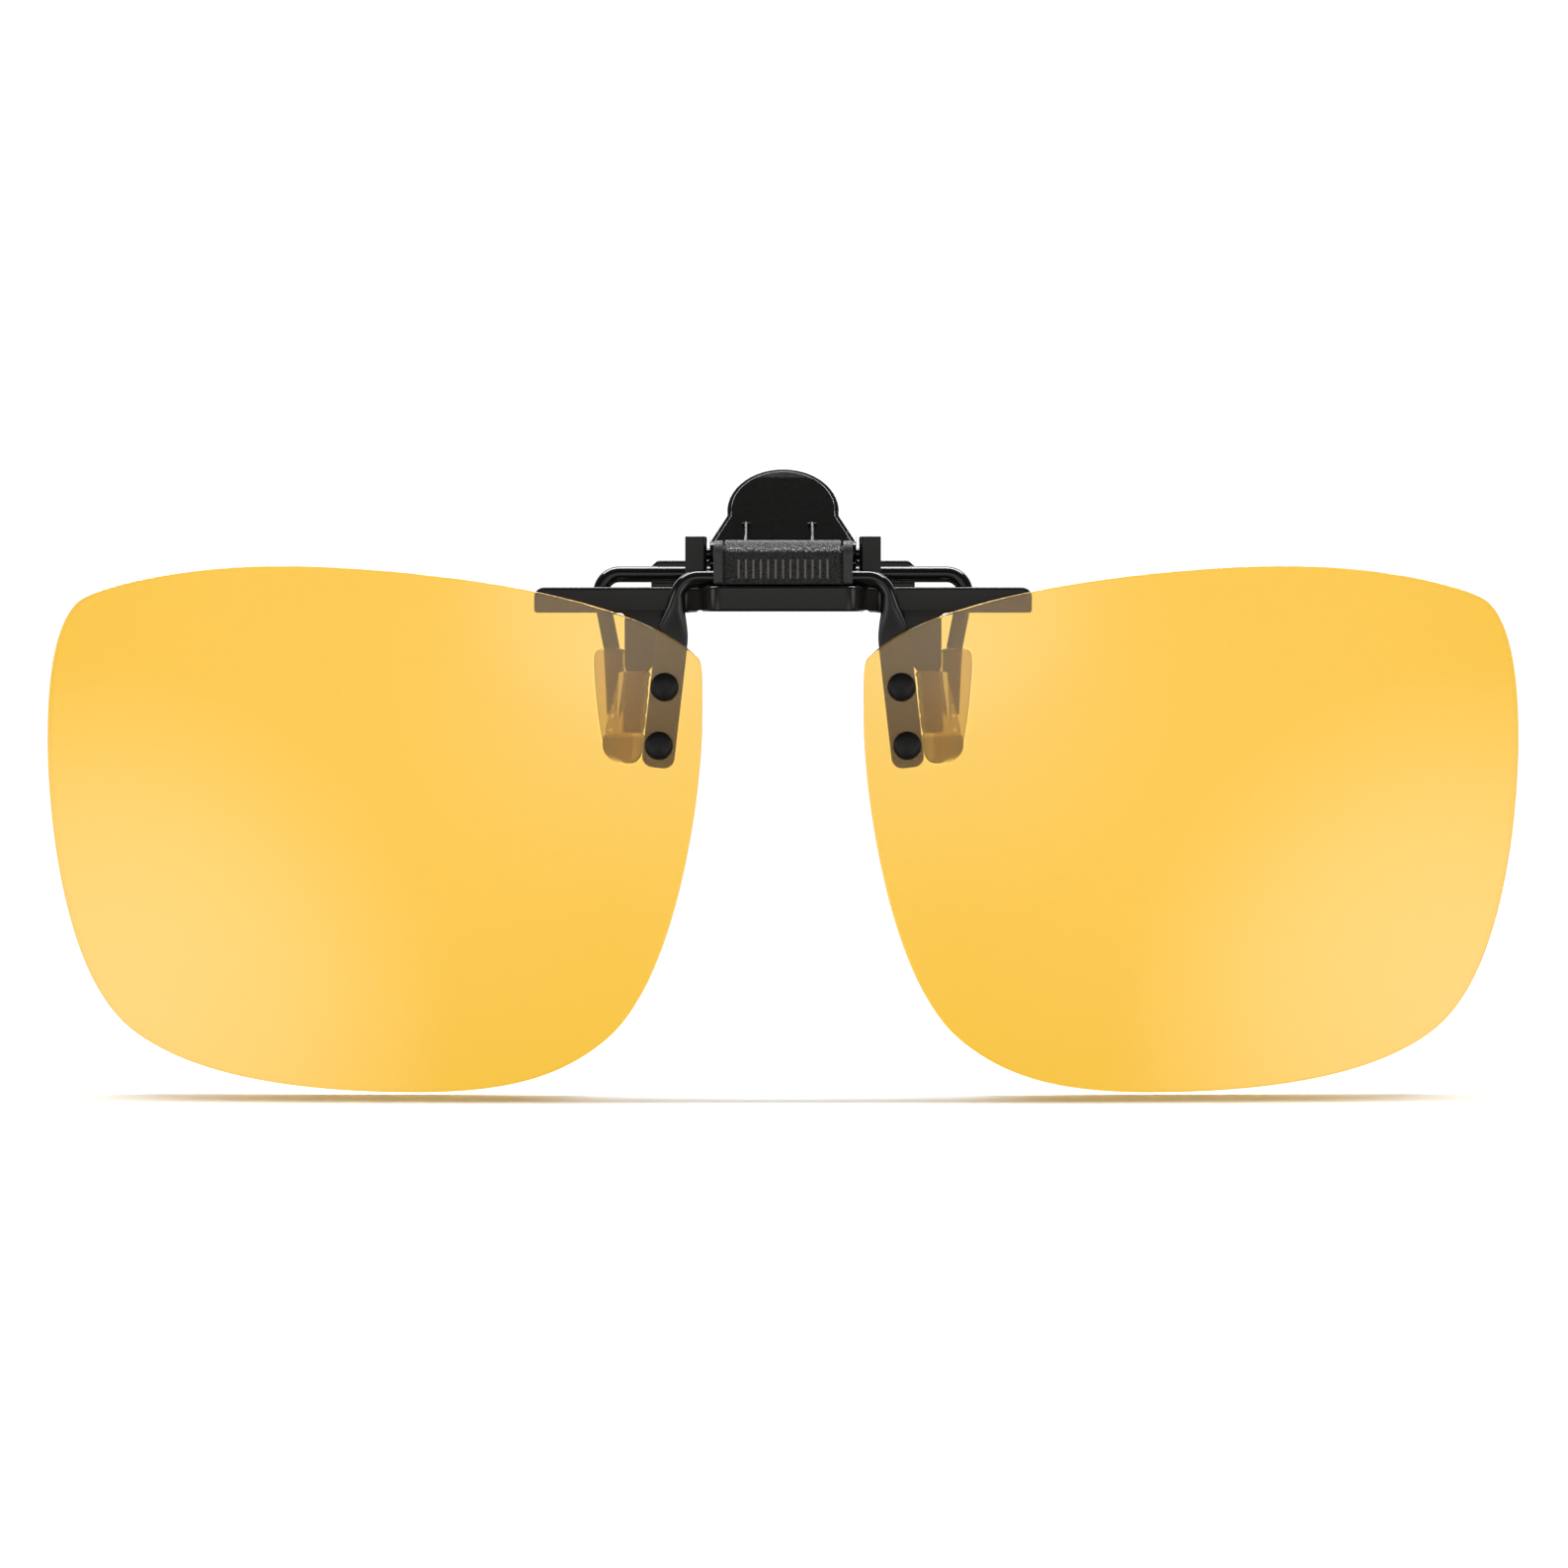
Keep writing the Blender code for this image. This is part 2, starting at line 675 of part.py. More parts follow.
def make_torsion_spring():
    """Two coils on the pin: each outer end hooks into the tab, a loop between them bears down."""
    hook = tab_point(SPRING_HOOK)
    bend = tab_point(SPRING_HOOK, LEVER_SHEET / 2 + 0.35)
    reach = hypot(bend[0] - PIN_Y, bend[1] - PIN_Z)
    first = atan2(bend[1] - PIN_Z, bend[0] - PIN_Y) + acos(COIL_R / reach)
    last = pi + 2 * pi * SPRING_TURNS
    steps = 11 * SPRING_TURNS
    middle = sum(SPRING_LEG_X) / 2
    offset = SPRING_LEG_X[1] - middle
    half = [(offset, *hook), (offset, *bend)]
    for step in range(steps + 1):
        angle = first + (last - first) * step / steps
        x = offset - SPRING_PITCH * (angle - first) / (2 * pi)
        half.append((x, PIN_Y + COIL_R * cos(angle), PIN_Z + COIL_R * sin(angle)))
    rest = BAR_HEIGHT + SPRING_WIRE_R + 0.06
    half.append((half[-1][0], PIN_Y - COIL_R, rest + 0.4))
    half.append((half[-1][0] - 0.3, PIN_Y - COIL_R, rest))
    route = [(middle - x, y, z) for x, y, z in half] + [(middle + x, y, z) for x, y, z in reversed(half)]
    return tube("torsion_spring", route, SPRING_WIRE_R, spring_steel)


# Thumb lever


def tab_outline():
    """The lever's face, flat in its own plane: round tab, flared shoulders and foot."""
    rise = 1.0 / cos(LEVER_LEAN)
    top = (TAB_TOP_Z - LEVER_BEND_Z) * rise
    centre = top - TAB_R
    shoulder = (6.7 - LEVER_BEND_Z) * rise
    arc = [
        (TAB_R * cos(angle), centre + TAB_R * sin(angle))
        for angle in [pi * step / 16 for step in range(17)]
    ]
    half = CHEEK_X[1]
    neck = centre - 0.7
    right = [(half, -0.6), (half, shoulder), (TAB_R, neck)]
    return [*right, *arc, *mirror_x(reversed(right))]


def foot_outline():
    half = LEVER_FOOT_HALF
    right = ((half, LEVER_FOOT_Z, 0.3), (half, 4.5, 0.3), (half - 0.6, 5.05, 0.5), (7.0, 5.05, 0.2))
    shoulder = ((CHEEK_X[1], LEVER_BEND_Z + 0.5, 0.0),)
    left = tuple((-x, z, r) for x, z, r in reversed(right + shoulder))
    return rounded(right + shoulder + left, steps=2)


def cheek_outline():
    """Side view of a cheek, from the pin back to the plate and up along the tab."""
    top_y, top_z = tab_point(2.2)
    above_wire = REAR_Z + REAR_WIRE_R + 0.12
    return rounded(
        (
            (PIN_Y - 1.2, above_wire, 1.0),
            (LEVER_FOOT_Y + 0.1, above_wire, 0.0),
            (LEVER_FOOT_Y + 0.1, LEVER_BEND_Z, 0.0),
            (top_y, top_z, 0.0),
            (PIN_Y - 1.2, PIN_Z + 1.2, 1.1),
        ),
        steps=4,
    )


def make_thumb_lever():
    lever = plate(
        "thumb_lever", foot_outline(), LEVER_SHEET, LEVER_FOOT_Y, "XZ", black_steel, edge=0.15
    )
    tab = plate("tab", tab_outline(), LEVER_SHEET, 0.0, "XY", None, edge=0.2)
    lean = Matrix.Rotation(pi / 2 - LEVER_LEAN, 4, "X")
    at_bend = Vector((0, LEVER_FOOT_Y, LEVER_BEND_Z)) * MM
    tab.matrix_world = Matrix.Translation(at_bend) @ lean
    pieces = [tab]
    cheek_mid = sum(CHEEK_X) / 2
    cheek_wall = CHEEK_X[1] - CHEEK_X[0] - 0.04
    for side in (-1, 1):
        pieces.append(
            plate(f"cheek_{side}", cheek_outline(), cheek_wall, side * cheek_mid, "YZ", None, edge=0.1)
        )
    combine(lever, pieces, "UNION")
    hole = cylinder("lever_hole", PIN_R + 0.08, (-7.4, PIN_Y, PIN_Z), (7.4, PIN_Y, PIN_Z))
    cutters_here = [hole]
    for x in SPRING_LEG_X:
        half_x, half_y = SPRING_SLOT
        low = (x - half_x, -half_y, -LEVER_SHEET)
        slot = block(f"spring_slot_{x:.0f}", low, (x + half_x, half_y, LEVER_SHEET))
        y, z = tab_point(SPRING_HOOK)
        slot.matrix_world = Matrix.Translation(Vector((0, y, z)) * MM) @ lean
        cutters_here.append(slot)
    combine(lever, cutters_here, "DIFFERENCE")
    return lever


# Rear wire and grip sleeves


def make_rear_wire():
    start = (0.0, REAR_Y, REAR_Z, 0.0)
    right = rounded((start,) + REAR_ROUTE, steps=5)
    route = mirror_x([tuple(spot) for spot in reversed(right[1:])]) + [tuple(spot) for spot in right]
    return tube("rear_wire", route, REAR_WIRE_R, black_steel)


def make_front_sleeve(name, side):
    """A soft box pad slipped over one leg of the base bar."""
    front, back = SLEEVE_FRONT_Y
    top = (*sided(side, 12.15, 15.2), front, back, SLEEVE_TOP_FRONT)
    bottom = (*sided(side, 12.85, 16.6), front, back, SLEEVE_END)
    sleeve = wedge(name, top, bottom, silicone)
    ease_edges(sleeve, 0.6)
    leg_front = WING_Y - SHEET / 2 - 0.1
    leg_back = WING_Y + SHEET / 2 + 0.1
    cavity = wedge(
        name + "_cavity",
        (*sided(side, 12.5, 14.62), leg_front, leg_back, SLEEVE_TOP_FRONT + 0.5),
        (*sided(side, 13.0, 15.0), leg_front, leg_back, LEG_END - 0.2),
        None,
    )
    combine(sleeve, [cavity], "DIFFERENCE")
    return sleeve


def make_rear_sleeve(name, side):
    """A soft rounded pad slipped over one end of the rear wire."""
    front, back = SLEEVE_REAR_Y
    top = (*sided(side, 14.45, 17.5), front, back, SLEEVE_TOP_REAR)
    bottom = (*sided(side, 13.75, 16.6), front, back, SLEEVE_END_REAR)
    sleeve = wedge(name, top, bottom, silicone)
    ease_edges(sleeve, 0.85)
    high = Vector(REAR_ROUTE[1][:3])
    low = Vector(REAR_ROUTE[2][:3])
    along = (high - low).normalized()
    high = high + along * 1.2
    low = low - along * 0.2
    bore = cylinder(
        name + "_bore", REAR_WIRE_R + 0.12, (side * high.x, high.y, high.z), (side * low.x, low.y, low.z)
    )
    combine(sleeve, [bore], "DIFFERENCE")
    return sleeve


clear_scene()
model = new_collection("clip_on_sunglasses")
cutters = new_collection("cutters")
lens_tint = material("amber_lens", (0.98, 0.62, 0.12), 0.05, alpha=0.45)
black_steel = material("black_painted_steel", (0.02, 0.02, 0.019), 0.35)
black_plastic = material("black_moulded_plastic", (0.024, 0.024, 0.023), 0.55)
spring_steel = material("black_spring_steel", (0.05, 0.05, 0.05), 0.3, metallic=1.0)
silicone = material("clear_silicone", (0.85, 0.84, 0.8), 0.35, alpha=0.5)
clear_plastic = material("clear_nylon", (0.9, 0.9, 0.88), 0.3, alpha=0.5)

for side_name, side_sign in (("left", -1), ("right", 1)):
    make_lens(f"lens_{side_name}", side_sign)
    make_front_sleeve(f"front_sleeve_{side_name}", side_sign)
    make_rear_sleeve(f"rear_sleeve_{side_name}", side_sign)
    for level_name, (rivet_x, rivet_z) in RIVETS.items():
        make_rivet(f"rivet_{side_name}_{level_name}", side_sign * rivet_x, rivet_z)
        make_washer(f"washer_{side_name}_{level_name}", side_sign * rivet_x, rivet_z)
make_bridge_wire()
make_base_bar()
make_hinge_block()
make_hinge_cover()
make_detent_spring()
make_hinge_pin()
make_torsion_spring()
make_thumb_lever()
make_rear_wire()
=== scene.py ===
import json
from math import acos, atan2, cos, hypot, pi, radians, sin

import bmesh
import bpy
from mathutils import Matrix, Vector


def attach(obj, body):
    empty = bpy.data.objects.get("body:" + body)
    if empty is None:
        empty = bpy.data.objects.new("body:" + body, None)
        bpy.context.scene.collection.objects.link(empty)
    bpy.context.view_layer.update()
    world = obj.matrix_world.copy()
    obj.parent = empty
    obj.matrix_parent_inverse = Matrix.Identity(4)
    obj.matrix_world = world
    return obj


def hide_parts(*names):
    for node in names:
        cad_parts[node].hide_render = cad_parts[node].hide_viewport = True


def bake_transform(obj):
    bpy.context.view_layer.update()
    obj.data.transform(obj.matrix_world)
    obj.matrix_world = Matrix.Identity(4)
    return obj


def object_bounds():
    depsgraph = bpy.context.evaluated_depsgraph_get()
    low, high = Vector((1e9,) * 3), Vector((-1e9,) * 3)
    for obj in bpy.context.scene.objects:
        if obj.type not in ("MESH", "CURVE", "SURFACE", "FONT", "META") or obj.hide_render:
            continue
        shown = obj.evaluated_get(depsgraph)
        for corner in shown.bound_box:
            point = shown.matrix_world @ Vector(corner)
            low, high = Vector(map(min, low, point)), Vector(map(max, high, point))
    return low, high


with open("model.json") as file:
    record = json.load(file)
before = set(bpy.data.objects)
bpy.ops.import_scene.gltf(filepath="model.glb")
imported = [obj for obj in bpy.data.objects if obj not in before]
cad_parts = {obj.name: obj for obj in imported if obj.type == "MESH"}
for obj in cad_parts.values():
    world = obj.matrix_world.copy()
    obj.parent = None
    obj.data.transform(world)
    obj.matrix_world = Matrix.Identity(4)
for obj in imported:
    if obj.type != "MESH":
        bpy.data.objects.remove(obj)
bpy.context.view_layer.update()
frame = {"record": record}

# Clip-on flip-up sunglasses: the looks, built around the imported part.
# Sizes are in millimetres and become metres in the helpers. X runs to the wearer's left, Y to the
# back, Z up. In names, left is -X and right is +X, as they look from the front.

MM = 0.001
GAP = 0.15  # clearance between neighbouring pieces
WELD = 0.001  # points nearer to each other than this are made one

# Lenses
LENS_THICKNESS = 1.1
LENS_CENTRE = (37.8, -20.0)  # x and z of the middle of one lens
LENS_RADIUS = 220.0  # curve of the lens
LENS_WRAP = 0.087  # slope towards the temple
LENS_TILT = 0.046  # slope of the lower edge towards the cheek
LENS_DEPTH = -4.06  # y of the middle of the lens
LENS_EDGE = 0.12  # rounding of the ground edge
LENS_EDGE_TURNS = (0, 22, 45, 68, 90)  # degrees round that rounding
LENS_RINGS = 20
RIM_START = 0.04  # below the face, where the frosted rim begins
RIM_FADE = 0.07
# Pale patches of painted reflection, mixed into the dye: x, z, reach and share
PAINTED_REFLECTION_PATCHES = ((13.5, -5.0, 25.0, 1.0), (65.0, -38.0, 36.0, 0.75))
PAINTED_REFLECTION_FALL = 1.5  # above 1, each patch of painted reflection fades quickly near its middle and slowly far out
# One lens outline: x, z, heading in degrees, curve handle before and after
LENS_ANCHORS = (
    (46.6, 4.3, 0.0, 9.3, 9.5),
    (65.4, 1.0, -43.0, 1.9, 3.0),
    (68.2, -11.6, -90.0, 5.5, 5.9),
    (60.5, -38.5, -141.5, 8.4, 7.0),
    (34.1, -44.3, 180.0, 10.9, 8.5),
    (16.2, -39.3, 139.6, 5.6, 8.2),
    (7.4, -9.7, 90.0, 7.6, 3.0),
    (7.8, -4.2, 46.0, 0.7, 9.0),
)

# Bridge wire and rivets
FLIP_Y = -3.7  # the wire's straight middle, about which the lenses flip
FLIP_Z = 3.17
WIRE_R = 0.7
PADDLE_WIDTH = 3.0
PADDLE_THICKNESS = 0.6
PADDLE_TIP_R = 1.0
PADDLE_TIP_RINGS = 10
PADDLE_SIDES = 32
PADDLE_RING_STEP = 0.35  # spacing of the sections along the paddle
PADDLE_SQUARENESS = 0.62  # how far the rolled section leaves the round
FLATTEN_START = 1.9  # height at which the round wire begins to be rolled flat
FLATTEN_LENGTH = 4.6
# x, z and corner radius of the wire's right half, as seen from the front
BRIDGE_ROUTE = ((9.5, FLIP_Z, 2.0), (9.95, 0.2, 3.0), (11.6, -14.3, 0.0))
RIVETS = {"upper": (10.88, -6.9), "lower": (11.4, -12.3)}  # x and z
RIVET_HEAD_R = 1.32
RIVET_HEAD_HEIGHT = 0.72
RIVET_SKIRT = 0.17  # the share of the head's height that is its upright skirt
RIVET_RING = (0.45, 0.62)  # the punch's ring on a lower head, between these radii
RIVET_RING_DEPTH = 0.03
RIVET_SHANK_R = 0.6
RIVET_TAIL_R = 1.0
RIVET_TAIL_HEIGHT = 0.42
RIVET_HOLE_R = 0.72
RIVET_PLAY = 0.1
WASHER_THICKNESS = 0.25
WASHER_R = RIVET_HEAD_R - 0.1
WASHER_EDGE = 0.05

# Base bar
SHEET = 1.0
SHEET_EDGE = 0.28  # rounding of the stamped and painted edges
INSET = 0.02  # keeps joined plates from sharing a face
BAR_HEIGHT = 2.4
BAR_HALF = 23.0
WING_Y = -1.4  # middle of the sheet at the wings
FLANGE_Y = -5.7  # middle of the sheet at the middle, which steps forward
FLANGE_HALF = 6.3
WING_START = 8.6
STEP_R = 1.1
STRIP_LAP = 1.8  # how far the strip runs into each wing
WING_LAP = 0.6  # where a wing begins beyond the step
SHELF_BACK = 1.2
SHELF_LOW = 1.4
EAR_X = (7.05, 9.05)
EAR_LOW = 1.5
EAR_TOP = 7.1
EAR_REACH = 1.25  # of the ear behind the pin
EAR_EDGE = 0.12
LEG_X = (10.6, 14.65)
LEG_NECK = ((12.72, -5.8), (14.45, -5.45))  # inner and outer corner where a leg narrows
LEG_TOE_X = (13.15, 14.85)
LEG_END = -11.1
BEND_RELIEF_X = 7.65  # the round notch under each bend of the strip
BEND_RELIEF_Z = -0.2
BEND_RELIEF_R = 0.4

# Clamp pivot and spring
PIN_Y = 0.2
PIN_Z = 5.5
PIN_R = 0.55
PIN_HEAD_R = 0.85
PIN_HEAD_HEIGHT = 0.3
PIN_HEAD_SKIRT = 0.05
EAR_BORE_R = PIN_R + 0.06
LEVER_BORE_R = PIN_R + 0.08
COIL_R = 1.0
SPRING_WIRE_R = 0.17
SPRING_LEG_X = (-3.46, 2.73)
SPRING_PITCH = 0.48
SPRING_TURNS = 4
SPRING_TURN_STEPS = 28
SPRING_HOOK = 4.3  # how far up the tab its legs hook in
SPRING_STANDOFF = 0.35  # between the tab's face and the bend of a leg
SPRING_SLOT = (0.4, 0.3)  # half sizes of the hook slots in the tab
SPRING_LIP_R = 0.1  # of the raised lip above each slot

# Thumb lever
LEVER_SHEET = 0.8
LEVER_EDGE = 0.28
TAB_EDGE = 0.13
TAB_RIM = 0.34  # width of the coined rim
TAB_RIM_EDGE = 0.1
TAB_STEP = 0.1  # depth of the coined rim
LEVER_LEAN = radians(40.0)
LEVER_FOOT_Y = 3.65
LEVER_BEND_Z = 4.8
LEVER_FOOT_Z = 1.6
LEVER_FOOT_HALF = 12.3
SHOULDER_RISE_Z = 6.7  # up to here the tab is as wide as its cheeks
TAB_R = 5.24
TAB_TOP_Z = 13.75
CHEEK_X = (5.95, 6.8)
CHEEK_EDGE = 0.12
CHEEK_PLAY = 0.04

# Rear wire
REAR_WIRE_R = 0.775
REAR_Y = 2.4
REAR_Z = 3.7
REAR_ROUTE = ((17.3, REAR_Y, REAR_Z, 1.7), (15.85, 1.5, -3.5, 2.2), (15.55, 1.5, -9.3, 0.0))

# Grip sleeves: height, inner x and outer x down each pad, with its collar, seam and rounded end
FRONT_PAD_Y = (-2.7, -GAP)
FRONT_PAD = (
    (-5.37, 12.6, 14.85),
    (-5.42, 12.25, 15.15),
    (-5.62, 12.15, 15.25),
    (-5.86, 12.17, 15.28),
    (-5.96, 12.32, 15.18),
    (-6.1, 12.3, 15.25),
    (-8.3, 12.45, 15.85),
    (-10.75, 12.7, 16.5),
    (-11.0, 12.78, 16.5),
    (-11.12, 12.9, 16.42),
    (-11.24, 12.76, 16.62),
    (-11.5, 12.76, 16.7),
    (-12.4, 12.86, 16.76),
    (-13.0, 12.94, 16.52),
    (-13.5, 13.15, 16.05),
    (-13.85, 13.55, 15.4),
    (-13.98, 14.05, 14.8),
)
FRONT_PAD_SLANT = 1.15  # how much narrower a front pad is at its front
PAD_FULL_WIDTH = 2.9  # a narrower ring is shallower too, so that the ends close as round caps
PAD_SMOOTHING = 2
NOTCH_COUNT = 4
NOTCH_TOP = -6.9
NOTCH_STEP = (0.13, -1.3)  # x and z from one notch to the next
NOTCH_RADIUS = 0.16
NOTCH_REACH = 4.0
NOTCH_X = {"inner": 12.3, "outer": 15.55}  # of the top notch on each edge
SOLID_FADE = 0.5  # below the legs' ends, over which the pads' deeper colour comes in
STRETCH_FIT = 0.02  # the rubber grips the metal, so its bore lies just inside the metal's skin
REAR_PAD_Y = (GAP, 2.85)
REAR_PAD = (
    (-3.15, 15.1, 16.75),
    (-3.22, 14.7, 17.2),
    (-3.55, 14.4, 17.6),
    (-4.4, 14.35, 17.72),
    (-7.3, 14.2, 17.5),
    (-9.4, 14.05, 17.28),
    (-12.2, 13.8, 16.85),
    (-13.1, 13.95, 16.5),
    (-13.42, 14.3, 16.1),
    (-13.5, 14.8, 15.6),
)

# Hinge block and its cover
BLOCK_HALF = 6.4
BLOCK_Y = (-5.3, -1.6)
BLOCK_Z = (BAR_HEIGHT + GAP, 6.15)
BLOCK_EDGE = 0.2
BLOCK_TRIM = 0.1  # how much shorter the block's body is than the span over its shoulders
SHOULDER_X = (5.5, 6.4)  # the raised ends beside the cover
SHOULDER_FRONT = -5.72
SHOULDER_TOP = 6.6
SHOULDER_EDGE = 0.16
CHANNEL_R = WIRE_R + 0.1  # the groove that the bridge wire turns in
CHANNEL_STEPS = 16
COVER_HALF = 5.35
COVER_WALL = 0.35
COVER_BACK = -2.1
COVER_EDGE = 0.17
POCKET_HALF = (4.9, 1.2)
POCKET_TOP = 5.0
RIB_COUNT = 13
RIB_PITCH = 0.68
RIB_HEIGHT = 1.75
RIB_RADIUS = 0.13
RIB_MIDDLE_Z = 3.95
RIB_PROUD = 0.06

# Detent spring
LEAF_HALF = (4.6, 1.0)
LEAF_THICKNESS = 0.2
LEAF_BOW = 0.55
LEAF_EDGE = 0.04
LEAF_STEPS = 32

# Camera and studio
CAMERA_AT = (0.09, -605.0, -15.8)
VIEW_WIDTH = 144.4  # what the camera takes in at the lenses
SENSOR = 36.0
FLOOR_DROP = 0.2
FLOOR_HALF = 420.0
FLOOR_FADE = (0.35, 0.95)  # shares of that half, between which the table fades out
SURROUND = 1.1  # brightness of the white surround
STUDIO_DIM = 0.1  # brightness of the darkest part of the studio
BACK_WALL = (0.5, 0.9, 2.2)  # directions whose y passes from the first to the second see this glow
# Soft glows that the pieces reflect, the same on both sides: direction, spread in radians, brightness
GLOWS = (
    ((0.6, -1.0, -0.36), 0.38, 1.8),  # the pale veil on the lenses' lower outer corners
    ((0.0, -1.0, 0.16), 0.18, 0.8),  # the sheen on the cover and the bar
    ((0.2, -1.0, 0.06), 0.5, 0.65),  # a fill from the front
    ((0.88, -0.47, 0.12), 0.32, 3.0),  # the light on edges that turn to the sides
)
SEEN_THROUGH = (0.45, 0.8)  # steeper than this upward, a look through a lens meets the studio
SOFTBOX_AT = (0.0, 140.0, 450.0)
SOFTBOX_SIZE = (700.0, 100.0)
SOFTBOX_POWER = 6.5


def linear(hex_text):
    """An sRGB hex value as linear red, green, blue and alpha."""
    shares = [int(hex_text[index : index + 2], 16) / 255 for index in (1, 3, 5)]
    return (*[c / 12.92 if c <= 0.04045 else ((c + 0.055) / 1.055) ** 2.4 for c in shares], 1.0)


def add_node(tree, kind, inputs=None, **settings):
    """A node with its settings; each input is given a value, or joined to another node's output."""
    node = tree.nodes.new(kind)
    for name, value in settings.items():
        setattr(node, name, value)
    for key, value in (inputs or {}).items():
        if isinstance(value, bpy.types.NodeSocket):
            tree.links.new(value, node.inputs[key])
        else:
            node.inputs[key].default_value = value
    return node


def start_finish(name, colour, **values):
    """A Principled material; values are its plain sockets, named with underscores for spaces."""
    made = bpy.data.materials.new(name)
    made.use_nodes = True
    shader = made.node_tree.nodes["Principled BSDF"]
    shader.inputs["Base Color"].default_value = linear(colour)
    for socket, value in values.items():
        shader.inputs[socket.replace("_", " ")].default_value = value
    return made, made.node_tree, shader


# Finishes: each starts from the real material and the way that its surface was made


def amber_polycarbonate():
    """Moulded and dyed polycarbonate under a hard coat, with a ground edge.

    The faces are clear and mirror-smooth, so that the lens reads as tinted glass. The ground edge is
    frosted and browner, and it draws the lens's outline.
    """
    dye = "#F8C646"
    painted_reflection_colour = "#F9CE70"
    ground_edge = "#C4A068"
    made, tree, shader = start_finish("amber_tinted_polycarbonate", dye, IOR=1.585)
    rim = add_node(tree, "ShaderNodeAttribute", attribute_name="rim", attribute_type="GEOMETRY")
    # A painted reflection: pale patches mixed into the dye's colour
    thin = add_node(tree, "ShaderNodeAttribute", attribute_name="painted_reflection_patch", attribute_type="GEOMETRY")
    dye_and_painted_reflection = add_node(
        tree,
        "ShaderNodeMix",
        {"Factor": thin.outputs["Fac"], 6: linear(dye), 7: linear(painted_reflection_colour)},
        data_type="RGBA",
    )
    colour = add_node(
        tree,
        "ShaderNodeMix",
        {"Factor": rim.outputs["Fac"], 6: dye_and_painted_reflection.outputs[2], 7: linear(ground_edge)},
        data_type="RGBA",
    )
    tree.links.new(colour.outputs[2], shader.inputs["Base Color"])
    for socket, face_value, rim_value in (("Transmission Weight", 0.95, 0.4), ("Roughness", 0.03, 0.3)):
        change = add_node(
            tree,
            "ShaderNodeMapRange",
            {"Value": rim.outputs["Fac"], "To Min": face_value, "To Max": rim_value},
        )
        tree.links.new(change.outputs["Result"], shader.inputs[socket])
    return made


def painted_steel(name, colour, roughness, grain_mm, grain_depth, specular):
    """Sprayed and stoved enamel on steel: a near-black coat whose faint orange peel breaks the gloss.

    grain_mm is the spacing of the orange peel and grain_depth its height, both in millimetres.
    """
    made, tree, shader = start_finish(name, colour, IOR=1.5, Specular_IOR_Level=specular)
    place = add_node(tree, "ShaderNodeTexCoord")
    peel = add_node(
        tree,
        "ShaderNodeTexNoise",
        {"Vector": place.outputs["Object"], "Scale": 1 / (grain_mm * MM), "Detail": 3.0},
    )
    gloss = add_node(
        tree,
        "ShaderNodeMapRange",
        {"Value": peel.outputs["Fac"], "To Min": roughness * 0.8, "To Max": roughness * 1.25},
    )
    tree.links.new(gloss.outputs["Result"], shader.inputs["Roughness"])
    relief = add_node(
        tree,
        "ShaderNodeBump",
        {"Height": peel.outputs["Fac"], "Strength": 0.35, "Distance": grain_depth * MM},
    )
    tree.links.new(relief.outputs["Normal"], shader.inputs["Normal"])
    return made


def grained_plastic(name, colour, crest_highlight_colour, roughness, grain_mm, grain_depth, specular):
    """Black ABS moulded in a spark-eroded tool: small pits and crests that sparkle in raking light.

    grain_mm is the spacing of the pits and grain_depth their depth, both in millimetres. The crests
    are painted a little paler than the pits: a painted highlight for the light that they catch. The
    grain is about twice as coarse as life, so that it shows.
    """
    made, tree, shader = start_finish(name, colour, IOR=1.53, Specular_IOR_Level=specular)
    place = add_node(tree, "ShaderNodeTexCoord")
    crests = add_node(
        tree,
        "ShaderNodeTexVoronoi",
        {"Vector": place.outputs["Object"], "Scale": 1 / (grain_mm * MM), "Randomness": 1.0},
        feature="SMOOTH_F1",
    )
    fine = add_node(
        tree,
        "ShaderNodeTexNoise",
        {"Vector": place.outputs["Object"], "Scale": 2.2 / (grain_mm * MM), "Detail": 2.0},
    )
    height = add_node(
        tree, "ShaderNodeMath", {0: crests.outputs["Distance"], 1: fine.outputs["Fac"]}, operation="ADD"
    )
    relief = add_node(
        tree,
        "ShaderNodeBump",
        {"Height": height.outputs[0], "Strength": 1.0, "Distance": grain_depth * MM},
    )
    tree.links.new(relief.outputs["Normal"], shader.inputs["Normal"])
    gloss = add_node(
        tree,
        "ShaderNodeMapRange",
        {
            "Value": fine.outputs["Fac"],
            "From Min": 0.35,
            "From Max": 0.65,
            "To Min": roughness * 0.5,
            "To Max": roughness * 2.2,
        },
    )
    tree.links.new(gloss.outputs["Result"], shader.inputs["Roughness"])
    # Paler crests: a painted highlight that stands for the light the grain's crests catch
    painted_crest_highlight = add_node(
        tree,
        "ShaderNodeMix",
        {"Factor": crests.outputs["Distance"], 6: linear(colour), 7: linear(crest_highlight_colour)},
        data_type="RGBA",
    )
    tree.links.new(painted_crest_highlight.outputs[2], shader.inputs["Base Color"])
    return made


def blackened_spring_steel():
    """Oil-blackened music wire: a dark metal whose thin highlight runs along the wire in soft patches."""
    patch_mm = 0.6
    made, tree, shader = start_finish("blackened_spring_steel", "#0B0B0B", Metallic=1.0)
    place = add_node(tree, "ShaderNodeTexCoord")
    cloud = add_node(
        tree,
        "ShaderNodeTexNoise",
        {"Vector": place.outputs["Object"], "Scale": 1 / (patch_mm * MM), "Detail": 2.0},
    )
    gloss = add_node(
        tree, "ShaderNodeMapRange", {"Value": cloud.outputs["Fac"], "To Min": 0.12, "To Max": 0.2}
    )
    tree.links.new(gloss.outputs["Result"], shader.inputs["Roughness"])
    return made


